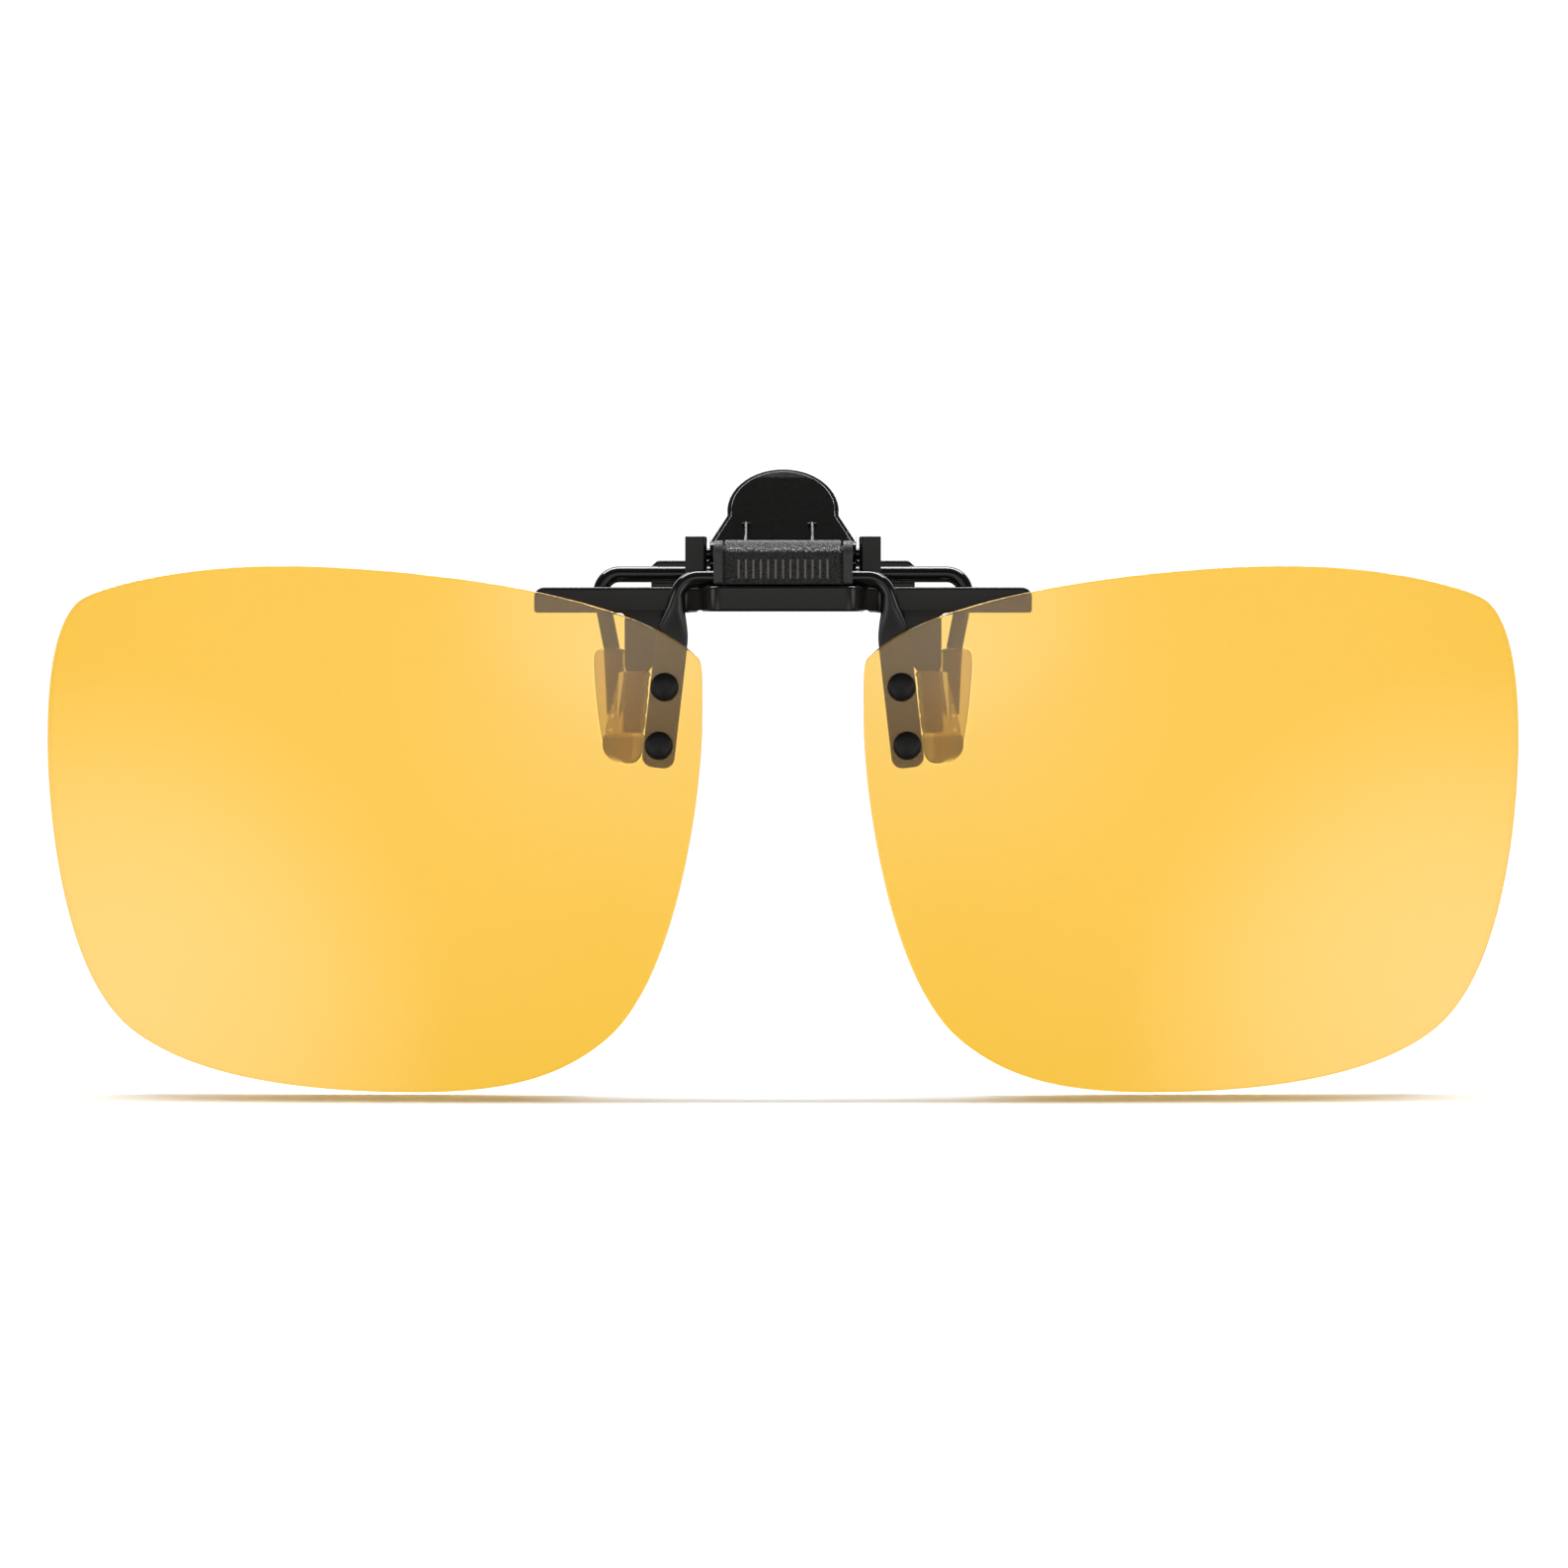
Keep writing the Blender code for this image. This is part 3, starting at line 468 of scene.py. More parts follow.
def clear_moulding(name, colour, transmission, ior, deep_colour=None):
    """A translucent rubber or plastic from a polished mould, with a slightly cloudy body.

    Light comes through it, its outline stays visible, and a wet-looking skin gives small highlights.
    Below the legs' ends the colour darkens to the deep colour.
    """
    ripple_mm = 0.9
    ripple_depth = 0.04
    made, tree, shader = start_finish(
        name,
        colour,
        IOR=ior,
        Transmission_Weight=transmission,
        Coat_Weight=0.5,
        Coat_Roughness=0.03,
    )
    place = add_node(tree, "ShaderNodeTexCoord")
    skin = add_node(
        tree,
        "ShaderNodeTexNoise",
        {"Vector": place.outputs["Object"], "Scale": 1 / (ripple_mm * MM), "Detail": 3.0},
    )
    if deep_colour:
        level = add_node(tree, "ShaderNodeSeparateXYZ", {0: place.outputs["Object"]})
        solid = add_node(
            tree,
            "ShaderNodeMapRange",
            {
                "Value": level.outputs["Z"],
                "From Min": LEG_END * MM,
                "From Max": (LEG_END - SOLID_FADE) * MM,
                "To Min": 0.0,
                "To Max": 1.0,
            },
        )
        depth = add_node(
            tree,
            "ShaderNodeMix",
            {"Factor": solid.outputs["Result"], 6: linear(colour), 7: linear(deep_colour)},
            data_type="RGBA",
        )
        tree.links.new(depth.outputs[2], shader.inputs["Base Color"])
    relief = add_node(
        tree,
        "ShaderNodeBump",
        {"Height": skin.outputs["Fac"], "Strength": 0.25, "Distance": ripple_depth * MM},
    )
    tree.links.new(relief.outputs["Normal"], shader.inputs["Normal"])
    gloss = add_node(
        tree, "ShaderNodeMapRange", {"Value": skin.outputs["Fac"], "To Min": 0.03, "To Max": 0.12}
    )
    tree.links.new(gloss.outputs["Result"], shader.inputs["Roughness"])
    return made


# Mesh helpers


def add_object(name, data, matrix=Matrix.Identity(4)):
    """An object for the data, put into the scene."""
    thing = bpy.data.objects.new(name, data)
    thing.matrix_world = matrix
    bpy.context.scene.collection.objects.link(thing)
    return thing


def evaluated_mesh(thing):
    """The object's mesh with its modifiers applied."""
    bpy.context.view_layer.update()
    depsgraph = bpy.context.evaluated_depsgraph_get()
    return bpy.data.meshes.new_from_object(thing.evaluated_get(depsgraph))


def weld(data):
    """Merges the mesh's doubled points and turns its faces outwards."""
    shape = bmesh.new()
    shape.from_mesh(data)
    bmesh.ops.remove_doubles(shape, verts=shape.verts, dist=WELD * MM)
    bmesh.ops.recalc_face_normals(shape, faces=shape.faces)
    shape.to_mesh(data)
    shape.free()


def from_bmesh(name, shape):
    """An object from a shape built in millimetres."""
    bmesh.ops.recalc_face_normals(shape, faces=shape.faces)
    bmesh.ops.scale(shape, vec=(MM, MM, MM), verts=shape.verts)
    data = bpy.data.meshes.new(name)
    shape.to_mesh(data)
    shape.free()
    return add_object(name, data)


def as_mesh(curve_object):
    """The closed mesh of a curve object, which is then removed."""
    data = evaluated_mesh(curve_object)
    weld(data)
    name = curve_object.name
    matrix = curve_object.matrix_world.copy()
    bpy.data.objects.remove(curve_object, do_unlink=True)
    data.materials.clear()
    return add_object(name, data, matrix)


def settle(thing, flat_faces=True, crease=32.0):
    """Applies modifiers and place, shades the piece smooth up to its creases, and clears its cutters."""
    helpers = [change.object for change in thing.modifiers if change.type == "BOOLEAN"]
    data = evaluated_mesh(thing)
    data.transform(thing.matrix_world)
    name = thing.name
    for other in [*helpers, thing]:
        bpy.data.objects.remove(other, do_unlink=True)
    data.shade_smooth()
    data.set_sharp_from_angle(angle=radians(crease))
    piece = add_object(name, data)
    if flat_faces:
        change = piece.modifiers.new("weighted", "WEIGHTED_NORMAL")
        change.keep_sharp = True
        piece.data = evaluated_mesh(piece)
        piece.modifiers.clear()
    return piece


def rounded(points, steps=6):
    """A route through points whose last value is a corner radius, with the corners as arcs."""
    route = []
    for index, (*place_at, radius) in enumerate(points):
        corner = Vector(place_at)
        if radius == 0.0:
            route.append(corner)
            continue
        before = (Vector(points[index - 1][:-1]) - corner).normalized()
        after = (Vector(points[(index + 1) % len(points)][:-1]) - corner).normalized()
        half = before.angle(after) / 2.0
        centre = corner + (before + after).normalized() * radius / sin(half)
        start = corner + before * radius / (sin(half) / cos(half)) - centre
        end = corner + after * radius / (sin(half) / cos(half)) - centre
        sweep = start.angle(end)
        for step in range(steps + 1):
            part = step / steps
            a = sin((1.0 - part) * sweep) / sin(sweep)
            b = sin(part * sweep) / sin(sweep)
            route.append(centre + start * a + end * b)
    return route


# How a flat outline is turned for each plane, and the axis that its thickness lies along
PLANES = {
    "XY": ((0.0, 0.0, 0.0), 2),
    "XZ": ((pi / 2, 0.0, 0.0), 1),
    "YZ": ((pi / 2, 0.0, pi / 2), 0),
}


def plate(name, outline, thickness, middle, plane, edge=0.0):
    """A flat outline given its thickness either side of its middle, with rounded edges."""
    data = bpy.data.curves.new(name, "CURVE")
    data.dimensions = "2D"
    data.fill_mode = "BOTH"
    data.extrude = (thickness / 2 - edge) * MM
    data.bevel_depth = edge * MM
    data.bevel_resolution = 3 if edge else 0
    data.offset = -edge * MM
    spline = data.splines.new("POLY")
    spline.points.add(len(outline) - 1)
    for point, spot in zip(spline.points, outline):
        point.co = (spot[0] * MM, spot[1] * MM, 0.0, 1.0)
    spline.use_cyclic_u = True
    shape = add_object(name, data)
    turn, axis = PLANES[plane]
    shape.rotation_euler = turn
    shape.location[axis] = middle * MM
    return as_mesh(shape)


def tube(name, route, radius, resolution=5):
    """A round wire along a route, closed at its ends."""
    data = bpy.data.curves.new(name, "CURVE")
    data.dimensions = "3D"
    data.bevel_depth = radius * MM
    data.bevel_resolution = resolution
    data.use_fill_caps = True
    spline = data.splines.new("POLY")
    spline.points.add(len(route) - 1)
    for point, spot in zip(spline.points, route):
        point.co = (*(Vector(spot) * MM), 1.0)
    return as_mesh(add_object(name, data))


def turned(name, profile, centre, axis, closed=False, steps=48):
    """A profile of (radius, height) turned about the axis; its outer side runs from high to low."""
    spots = [(radius * MM, 0.0, height * MM) for radius, height in profile]
    edges = [(index, index + 1) for index in range(len(spots) - 1)]
    if closed:
        edges.append((len(spots) - 1, 0))
    data = bpy.data.meshes.new(name)
    data.from_pydata(spots, edges, [])
    turn = Vector((0, 0, 1)).rotation_difference(Vector(axis)).to_matrix().to_4x4()
    thing = add_object(name, data, Matrix.Translation(Vector(centre) * MM) @ turn)
    spin = thing.modifiers.new("turn", "SCREW")
    spin.angle = 2 * pi
    spin.steps = steps
    spin.render_steps = steps
    spin.use_merge_vertices = True
    spin.merge_threshold = WELD * MM
    return thing


def cylinder(name, radius, start, end, segments=48):
    """A round bar between two points."""
    shape = bmesh.new()
    along = Vector(end) - Vector(start)
    bmesh.ops.create_cone(
        shape, cap_ends=True, segments=segments, radius1=radius, radius2=radius, depth=along.length
    )
    turn = Vector((0, 0, 1)).rotation_difference(along).to_matrix().to_4x4()
    middle = (Vector(start) + Vector(end)) / 2
    bmesh.ops.transform(shape, matrix=Matrix.Translation(middle) @ turn, verts=shape.verts)
    return from_bmesh(name, shape)


def wedge(name, top, bottom):
    """A box whose top and bottom differ: each is (x low, x high, y low, y high, z)."""
    shape = bmesh.new()
    bmesh.ops.create_cube(shape, size=2.0)
    for corner in shape.verts:
        x_low, x_high, y_low, y_high, z = top if corner.co.z > 0 else bottom
        x = x_high if corner.co.x > 0 else x_low
        y = y_high if corner.co.y > 0 else y_low
        corner.co = (x, y, z)
    return from_bmesh(name, shape)


def block(name, low, high):
    """A box between its low and its high corner."""
    sides = (low[0], high[0], low[1], high[1])
    return wedge(name, (*sides, high[2]), (*sides, low[2]))


def loft(name, rings):
    """A closed skin over rings of points with equal counts."""
    shape = bmesh.new()
    rows = [[shape.verts.new(spot) for spot in ring] for ring in rings]
    count = len(rows[0])
    for row, following in zip(rows, rows[1:]):
        for index in range(count):
            after = (index + 1) % count
            shape.faces.new((row[index], row[after], following[after], following[index]))
    for row in (rows[0], rows[-1]):
        hub = shape.verts.new(sum((vert.co for vert in row), Vector()) / count)
        for index in range(count):
            shape.faces.new((row[index], row[(index + 1) % count], hub))
    return from_bmesh(name, shape)


def combine(target, others, operation):
    """Adds the others to the target, or cuts them from it, when it is settled."""
    for other in others:
        change = target.modifiers.new(other.name, "BOOLEAN")
        change.operation = operation
        change.solver = "EXACT"
        change.object = other


def soften(pad):
    """Rounds a lofted pad."""
    change = pad.modifiers.new("smooth", "SUBSURF")
    change.levels = PAD_SMOOTHING
    change.render_levels = PAD_SMOOTHING


def mirror_x(outline):
    """The same points on the other side."""
    return [(-x, *rest) for x, *rest in outline]


def sided(side, low, high):
    """A range of x on the given side, low end first."""
    return (low, high) if side > 0 else (-high, -low)


def body_of(node):
    """The body that a CAD node moves with."""
    groups = frame["record"]["behaviour"]["bodies"]
    return next(body for body, members in groups.items() if node in members)


def dress(piece, node, finish):
    """Gives the piece its finish and slot, and lets it stand for its CAD node."""
    piece.data.materials.clear()
    piece.data.materials.append(finish)
    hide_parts(node)


def hand_over(piece, node, finish):
    """Dresses the piece and puts it on its node's body."""
    dress(piece, node, finish)
    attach(piece, body_of(node))


# Rows of small features, laid out by one Geometry Nodes tree


ROD_SIDES = 14


def row_tree():
    """A row of short round rods: their count, start, step, half length and radius are its inputs."""
    tree = bpy.data.node_groups.new("row_of_rods", "GeometryNodeTree")
    face = tree.interface
    face.new_socket("Geometry", in_out="INPUT", socket_type="NodeSocketGeometry")
    face.new_socket("Count", in_out="INPUT", socket_type="NodeSocketInt")
    face.new_socket("Start", in_out="INPUT", socket_type="NodeSocketVector")
    face.new_socket("Step", in_out="INPUT", socket_type="NodeSocketVector")
    face.new_socket("Half Length", in_out="INPUT", socket_type="NodeSocketVector")
    face.new_socket("Radius", in_out="INPUT", socket_type="NodeSocketFloat")
    face.new_socket("Finish", in_out="INPUT", socket_type="NodeSocketMaterial")
    face.new_socket("Geometry", in_out="OUTPUT", socket_type="NodeSocketGeometry")
    given = add_node(tree, "NodeGroupInput").outputs
    row = add_node(
        tree,
        "GeometryNodeMeshLine",
        {"Count": given["Count"], "Start Location": given["Start"], "Offset": given["Step"]},
    )
    back = add_node(
        tree, "ShaderNodeVectorMath", {0: given["Half Length"], "Scale": -1.0}, operation="SCALE"
    )
    line = add_node(
        tree,
        "GeometryNodeCurvePrimitiveLine",
        {"Start": back.outputs[0], "End": given["Half Length"]},
    )
    ring = add_node(
        tree, "GeometryNodeCurvePrimitiveCircle", {"Resolution": ROD_SIDES, "Radius": given["Radius"]}
    )
    rod = add_node(
        tree,
        "GeometryNodeCurveToMesh",
        {"Curve": line.outputs[0], "Profile Curve": ring.outputs[0], "Fill Caps": True},
    )
    placed = add_node(
        tree, "GeometryNodeInstanceOnPoints", {"Points": row.outputs[0], "Instance": rod.outputs[0]}
    )
    real = add_node(tree, "GeometryNodeRealizeInstances", {"Geometry": placed.outputs[0]})
    done = add_node(
        tree,
        "GeometryNodeSetMaterial",
        {"Geometry": real.outputs[0], "Material": given["Finish"]},
    )
    add_node(tree, "NodeGroupOutput", {"Geometry": done.outputs[0]})
    return tree


def laid_row(name, tree, finish, count, start, step, half_length, radius):
    """A plain mesh of the row that the tree makes; places and sizes are in millimetres."""
    thing = add_object(name, bpy.data.meshes.new(name))
    rows = thing.modifiers.new("rows", "NODES")
    rows.node_group = tree
    values = {
        "Count": count,
        "Start": [value * MM for value in start],
        "Step": [value * MM for value in step],
        "Half Length": [value * MM for value in half_length],
        "Radius": radius * MM,
        "Finish": finish,
    }
    for item in tree.interface.items_tree:
        if item.in_out == "INPUT" and item.name in values:
            rows[item.identifier] = values[item.name]
    data = evaluated_mesh(thing)
    bpy.data.objects.remove(thing, do_unlink=True)
    weld(data)
    return add_object(name, data)


# Lenses


def lens_depth(x, z):
    """The y of a lens's middle surface."""
    across = abs(x) - LENS_CENTRE[0]
    up = z - LENS_CENTRE[1]
    bow = (across**2 + up**2) / (2 * LENS_RADIUS)
    return LENS_DEPTH + LENS_WRAP * across - LENS_TILT * up + bow


def lens_outline(steps=26):
    """The rimless outline of the right lens, a closed curve through the anchors."""
    outline = []
    for index, (x, z, heading, _, handle) in enumerate(LENS_ANCHORS):
        x_next, z_next, heading_next, handle_next, _ = LENS_ANCHORS[(index + 1) % len(LENS_ANCHORS)]
        start = Vector((x, z))
        end = Vector((x_next, z_next))
        start_pull = start + handle * Vector((cos(radians(heading)), sin(radians(heading))))
        end_pull = end - handle_next * Vector((cos(radians(heading_next)), sin(radians(heading_next))))
        for step in range(steps):
            t = step / steps
            spot = (1 - t) ** 3 * start + 3 * (1 - t) ** 2 * t * start_pull
            spot += 3 * (1 - t) * t**2 * end_pull + t**3 * end
            outline.append(spot)
    return outline


def inset_outline(outline, inset):
    """The outline moved inwards; it runs clockwise as seen from the front."""
    moved = []
    for index, spot in enumerate(outline):
        ahead = (outline[(index + 1) % len(outline)] - outline[index - 1]).normalized()
        moved.append(spot + Vector((ahead.y, -ahead.x)) * inset)
    return moved


def lens_section():
    """Inset and depth round the ground edge, from the lens's front face to its back face."""
    half = LENS_THICKNESS / 2
    turns = [radians(angle) for angle in LENS_EDGE_TURNS]
    front = [(LENS_EDGE * (1 - sin(turn)), -half + LENS_EDGE * (1 - cos(turn))) for turn in turns]
    back = [(inset, -depth) for inset, depth in reversed(front)]
    return front + back


def lens_rings():
    """Rings of x, z and depth over the lens: out over its front, round the rim, in over its back."""
    outline = lens_outline()
    section = lens_section()
    flat_rim = inset_outline(outline, LENS_EDGE)
    centre = Vector(LENS_CENTRE)
    half = LENS_THICKNESS / 2
    shares = [sin(pi / 2 * ring / LENS_RINGS) for ring in range(1, LENS_RINGS + 1)]
    front = [[(*centre.lerp(spot, share), -half) for spot in flat_rim] for share in shares]
    rim = [
        [(*spot, depth) for spot in inset_outline(outline, inset)] for inset, depth in section[1:-1]
    ]
    back = [[(x, z, -depth) for x, z, depth in ring] for ring in reversed(front)]
    return front + rim + back


def make_lens(name, side, finish):
    """A bowed lens, lofted ring by ring, with its two drilled rivet holes."""
    skin = [
        [(side * x, lens_depth(x, z) + depth, z) for x, z, depth in ring] for ring in lens_rings()
    ]
    lens = loft(name, skin)
    drilled = (LENS_DEPTH - 5.0, LENS_DEPTH + 3.0)
    holes = [
        cylinder(f"{name}_hole_{level}", RIVET_HOLE_R, *[(side * x, y, z) for y in drilled])
        for level, (x, z) in RIVETS.items()
    ]
    combine(lens, holes, "DIFFERENCE")
    lens = settle(lens, flat_faces=False, crease=60.0)
    mark_lens(lens)
    hand_over(lens, f"lens_{'right' if side > 0 else 'left'}", finish)


def mark_lens(lens):
    """Attributes: rim is 1 on the lens's narrow edge, painted_reflection_patch is where a pale painted
    reflection lightens the dye.
    """
    rim = lens.data.attributes.new("rim", "FLOAT", "POINT")
    thin = lens.data.attributes.new("painted_reflection_patch", "FLOAT", "POINT")
    half = LENS_THICKNESS / 2
    for index, corner in enumerate(lens.data.vertices):
        spot = corner.co / MM
        off_face = half - abs(spot.y - lens_depth(spot.x, spot.z))
        in_hole = any(
            hypot(abs(spot.x) - x, spot.z - z) < RIVET_HOLE_R + RIM_START for x, z in RIVETS.values()
        )
        frosted = min(max((off_face - RIM_START) / RIM_FADE, 0.0), 1.0)
        rim.data[index].value = 0.0 if in_hole else frosted
        # How strongly the pale painted reflection lightens the dye at this point
        painted_reflection_share = 0.0
        for x, z, reach, share in PAINTED_REFLECTION_PATCHES:
            away = hypot(abs(spot.x) - x, spot.z - z) / reach
            painted_reflection_share = max(painted_reflection_share, share * max(1.0 - away, 0.0) ** PAINTED_REFLECTION_FALL)
        thin.data[index].value = painted_reflection_share


# Bridge wire and rivets


def paddle_section(z, from_tip):
    """Half width, half depth and roundness of the wire at a height."""
    flat = min(max((FLATTEN_START - z) / FLATTEN_LENGTH, 0.0), 1.0)
    flat = flat * flat * (3 - 2 * flat)
    half_width = WIRE_R + (PADDLE_WIDTH / 2 - WIRE_R) * flat
    half_depth = WIRE_R + (PADDLE_THICKNESS / 2 - WIRE_R) * flat
    if from_tip < PADDLE_TIP_R:
        half_width -= PADDLE_TIP_R - (PADDLE_TIP_R**2 - (PADDLE_TIP_R - from_tip) ** 2) ** 0.5
    return half_width, half_depth, 1.0 - PADDLE_SQUARENESS * flat


def bridge_stations():
    """Points along the right half of the wire, from the middle to the paddle's tip."""
    corners = rounded(((0.0, FLIP_Z, 0.0),) + BRIDGE_ROUTE, steps=14)
    last = corners[-2]
    tip = corners[-1]
    route = corners[:-1]
    straight = (last - tip).length
    distance = PADDLE_RING_STEP
    while distance < straight - PADDLE_TIP_R:
        route.append(last.lerp(tip, distance / straight))
        distance += PADDLE_RING_STEP
    short_of_point = PADDLE_TIP_RINGS - 0.7  # the last ring stays a little wide of the tip's point
    for turn in range(PADDLE_TIP_RINGS):
        left = PADDLE_TIP_R * (1 - sin(pi / 2 * turn / short_of_point))
        route.append(tip.lerp(last, left / straight))
    return route, tip


def make_bridge_wire(finish):
    """One wire bent to its route, rolled flat at both ends and punched for the rivets."""
    right, tip = bridge_stations()
    route = [Vector((-spot.x, spot.y)) for spot in reversed(right[1:])] + right
    rings = []
    for index, spot in enumerate(route):
        ahead = route[min(index + 1, len(route) - 1)] - route[max(index - 1, 0)]
        across = Vector((-ahead.y, ahead.x)).normalized()
        from_tip = (spot - Vector((tip.x if spot.x > 0 else -tip.x, tip.y))).length
        half_width, half_depth, roundness = paddle_section(spot.y, from_tip)
        ring = []
        for step in range(PADDLE_SIDES):
            angle = 2 * pi * (step + 0.5) / PADDLE_SIDES
            wide = abs(cos(angle)) ** roundness * (1 if cos(angle) > 0 else -1)
            deep = abs(sin(angle)) ** roundness * (1 if sin(angle) > 0 else -1)
            side = spot + across * half_width * wide
            ring.append((side.x, FLIP_Y + half_depth * deep, side.y))
        rings.append(ring)
    wire = loft("bridge_wire_formed", rings)
    punched = (FLIP_Y - 2.3, FLIP_Y + 1.7)
    holes = [
        cylinder(f"paddle_hole_{level}_{side}", RIVET_HOLE_R, *[(side * x, y, z) for y in punched])
        for level, (x, z) in RIVETS.items()
        for side in (-1, 1)
    ]
    combine(wire, holes, "DIFFERENCE")
    hand_over(settle(wire), "bridge_wire", finish)


def dome(radius, height, seat, steps=10):
    """Profile points of a domed head, from its crown to its rim over the seat."""
    points = []
    for step in range(steps + 1):
        turn = pi / 2 * step / steps
        points.append((radius * sin(turn), seat + height * cos(turn) ** 0.8))
    return points


def make_rivet(node, x, z, ringed, finish):
    """A domed head before the lens, a shank through it, and a peened tail behind the paddle."""
    seat = lens_depth(x, z) - LENS_THICKNESS / 2 - RIVET_PLAY
    tail = FLIP_Y + PADDLE_THICKNESS / 2 + RIVET_PLAY
    skirt = RIVET_HEAD_HEIGHT * RIVET_SKIRT
    head = dome(RIVET_HEAD_R, skirt - RIVET_HEAD_HEIGHT, seat - skirt)
    if ringed:
        inner, outer = RIVET_RING
        head = [(r, height + RIVET_RING_DEPTH * (inner < r < outer)) for r, height in head]
    profile = [
        (0.0, tail + RIVET_TAIL_HEIGHT),
        (RIVET_TAIL_R * 0.6, tail + RIVET_TAIL_HEIGHT * 0.9),
        (RIVET_TAIL_R * 0.9, tail + RIVET_TAIL_HEIGHT * 0.6),
        (RIVET_TAIL_R, tail + 0.08),
        (RIVET_TAIL_R, tail),
        (RIVET_SHANK_R, tail),
        (RIVET_SHANK_R, seat),
        (RIVET_HEAD_R, seat),
        *reversed(head),
    ]
    piece = settle(turned(f"{node}_peened", profile, (x, 0.0, z), (0, 1, 0)), flat_faces=False)
    hand_over(piece, node, finish)


def make_washer(node, x, z, finish):
    """A thin clear ring between the lens and the paddle."""
    back = FLIP_Y - PADDLE_THICKNESS / 2 - RIVET_PLAY
    front = back - WASHER_THICKNESS
    profile = (
        (RIVET_HOLE_R, back),
        (WASHER_R - WASHER_EDGE, back),
        (WASHER_R, back - WASHER_EDGE),
        (WASHER_R, front + WASHER_EDGE),
        (WASHER_R - WASHER_EDGE, front),
        (RIVET_HOLE_R, front),
    )
    piece = settle(turned(f"{node}_clear", profile, (x, 0.0, z), (0, 1, 0), closed=True))
    hand_over(piece, node, finish)


# Base bar


def strip_outline():
    """Plan of the bar's stepped front strip: its middle stands forward of its wings."""
    half = SHEET / 2 - INSET
    right = (
        (FLANGE_HALF, FLANGE_Y, STEP_R),
        (WING_START, WING_Y, STEP_R),
        (WING_START + STRIP_LAP, WING_Y, 0.0),
    )
    middle = rounded([*mirror_x(reversed(right)), *right], steps=10)
    near = []
    far = []
    for index, spot in enumerate(middle):
        ahead = middle[min(index + 1, len(middle) - 1)] - middle[max(index - 1, 0)]
        across = Vector((ahead.y, -ahead.x)).normalized() * half
        near.append(spot + across)
        far.append(spot - across)
    return near + far[::-1]


def wing_outline():
    """Front view of one wing with its grip leg."""
    inner, outer = LEG_X
    inner_neck, outer_neck = LEG_NECK
    inner_toe, outer_toe = LEG_TOE_X
    return rounded(
        (
            (WING_START + WING_LAP, INSET, 0.0),
            (inner, INSET, 0.5),
            (inner, -3.0, 0.0),
            (*inner_neck, 0.0),
            (inner_toe, LEG_END, 0.4),
            (outer_toe, LEG_END, 0.4),
            (*outer_neck, 0.0),
            (outer, -4.9, 0.0),
            (outer, 0.0, 0.4),
            (BAR_HALF, 0.0, 0.3),
            (BAR_HALF, BAR_HEIGHT, 0.9),
            (WING_START + WING_LAP, BAR_HEIGHT, 0.0),
        ),
        steps=8,
    )


def ear_outline(side):
    """Plan of one ear: a front wall that folds back beside the lever."""
    inner, outer = EAR_X
    front = WING_Y - SHEET / 2
    back = PIN_Y + EAR_REACH
    outline = (
        (inner, front, 0.35),
        (inner, back, 0.0),
        (inner + SHEET, back, 0.0),
        (inner + SHEET, front + SHEET, 0.0),
        (outer, front + SHEET, 0.0),
        (outer, front, 0.0),
    )
    points = rounded(outline)
    return points if side > 0 else mirror_x(points)


def shelf_outline():
    """Plan of the shelf behind the strip, which carries the hinge block and the spring."""
    front = FLANGE_Y + SHEET * 0.2
    right = ((6.0, front), (6.4, FLANGE_Y + 0.7), (7.9, WING_Y - 0.5), (7.6, SHELF_BACK))
    return [*right, *mirror_x(reversed(right))]


def make_base_bar(finish):
    """The stepped strip with its wings, legs, ears and shelf, bored for the pin."""
    height = BAR_HEIGHT - 2 * INSET
    bar = plate("base_bar_stamped", strip_outline(), height, BAR_HEIGHT / 2, "XY", edge=SHEET_EDGE)
    top = BAR_HEIGHT - 3 * INSET
    pieces = [plate("shelf", shelf_outline(), top - SHELF_LOW, (top + SHELF_LOW) / 2, "XY")]
    for side in (-1, 1):
        wing = wing_outline() if side > 0 else mirror_x(wing_outline())
        pieces.append(plate(f"wing_{side}", wing, SHEET, WING_Y, "XZ", edge=SHEET_EDGE))
        rise = EAR_TOP - EAR_LOW
        middle = EAR_LOW + rise / 2
        pieces.append(plate(f"ear_{side}", ear_outline(side), rise, middle, "XY", edge=EAR_EDGE))
    combine(bar, pieces, "UNION")
    bored = (EAR_X[0] - 0.55, EAR_X[0] + SHEET + 0.55)
    relieved = (FLANGE_Y - 0.8, 0.0)
    cutters = []
    for side in (-1, 1):
        hole = [(side * x, PIN_Y, PIN_Z) for x in bored]
        notch = [(side * BEND_RELIEF_X, y, BEND_RELIEF_Z) for y in relieved]
        cutters.append(cylinder(f"ear_hole_{side}", EAR_BORE_R, *hole))
        cutters.append(cylinder(f"bend_relief_{side}", BEND_RELIEF_R, *notch, segments=24))
    combine(bar, cutters, "DIFFERENCE")
    hand_over(settle(bar), "base_bar", finish)


# Hinge block, cover and detent spring


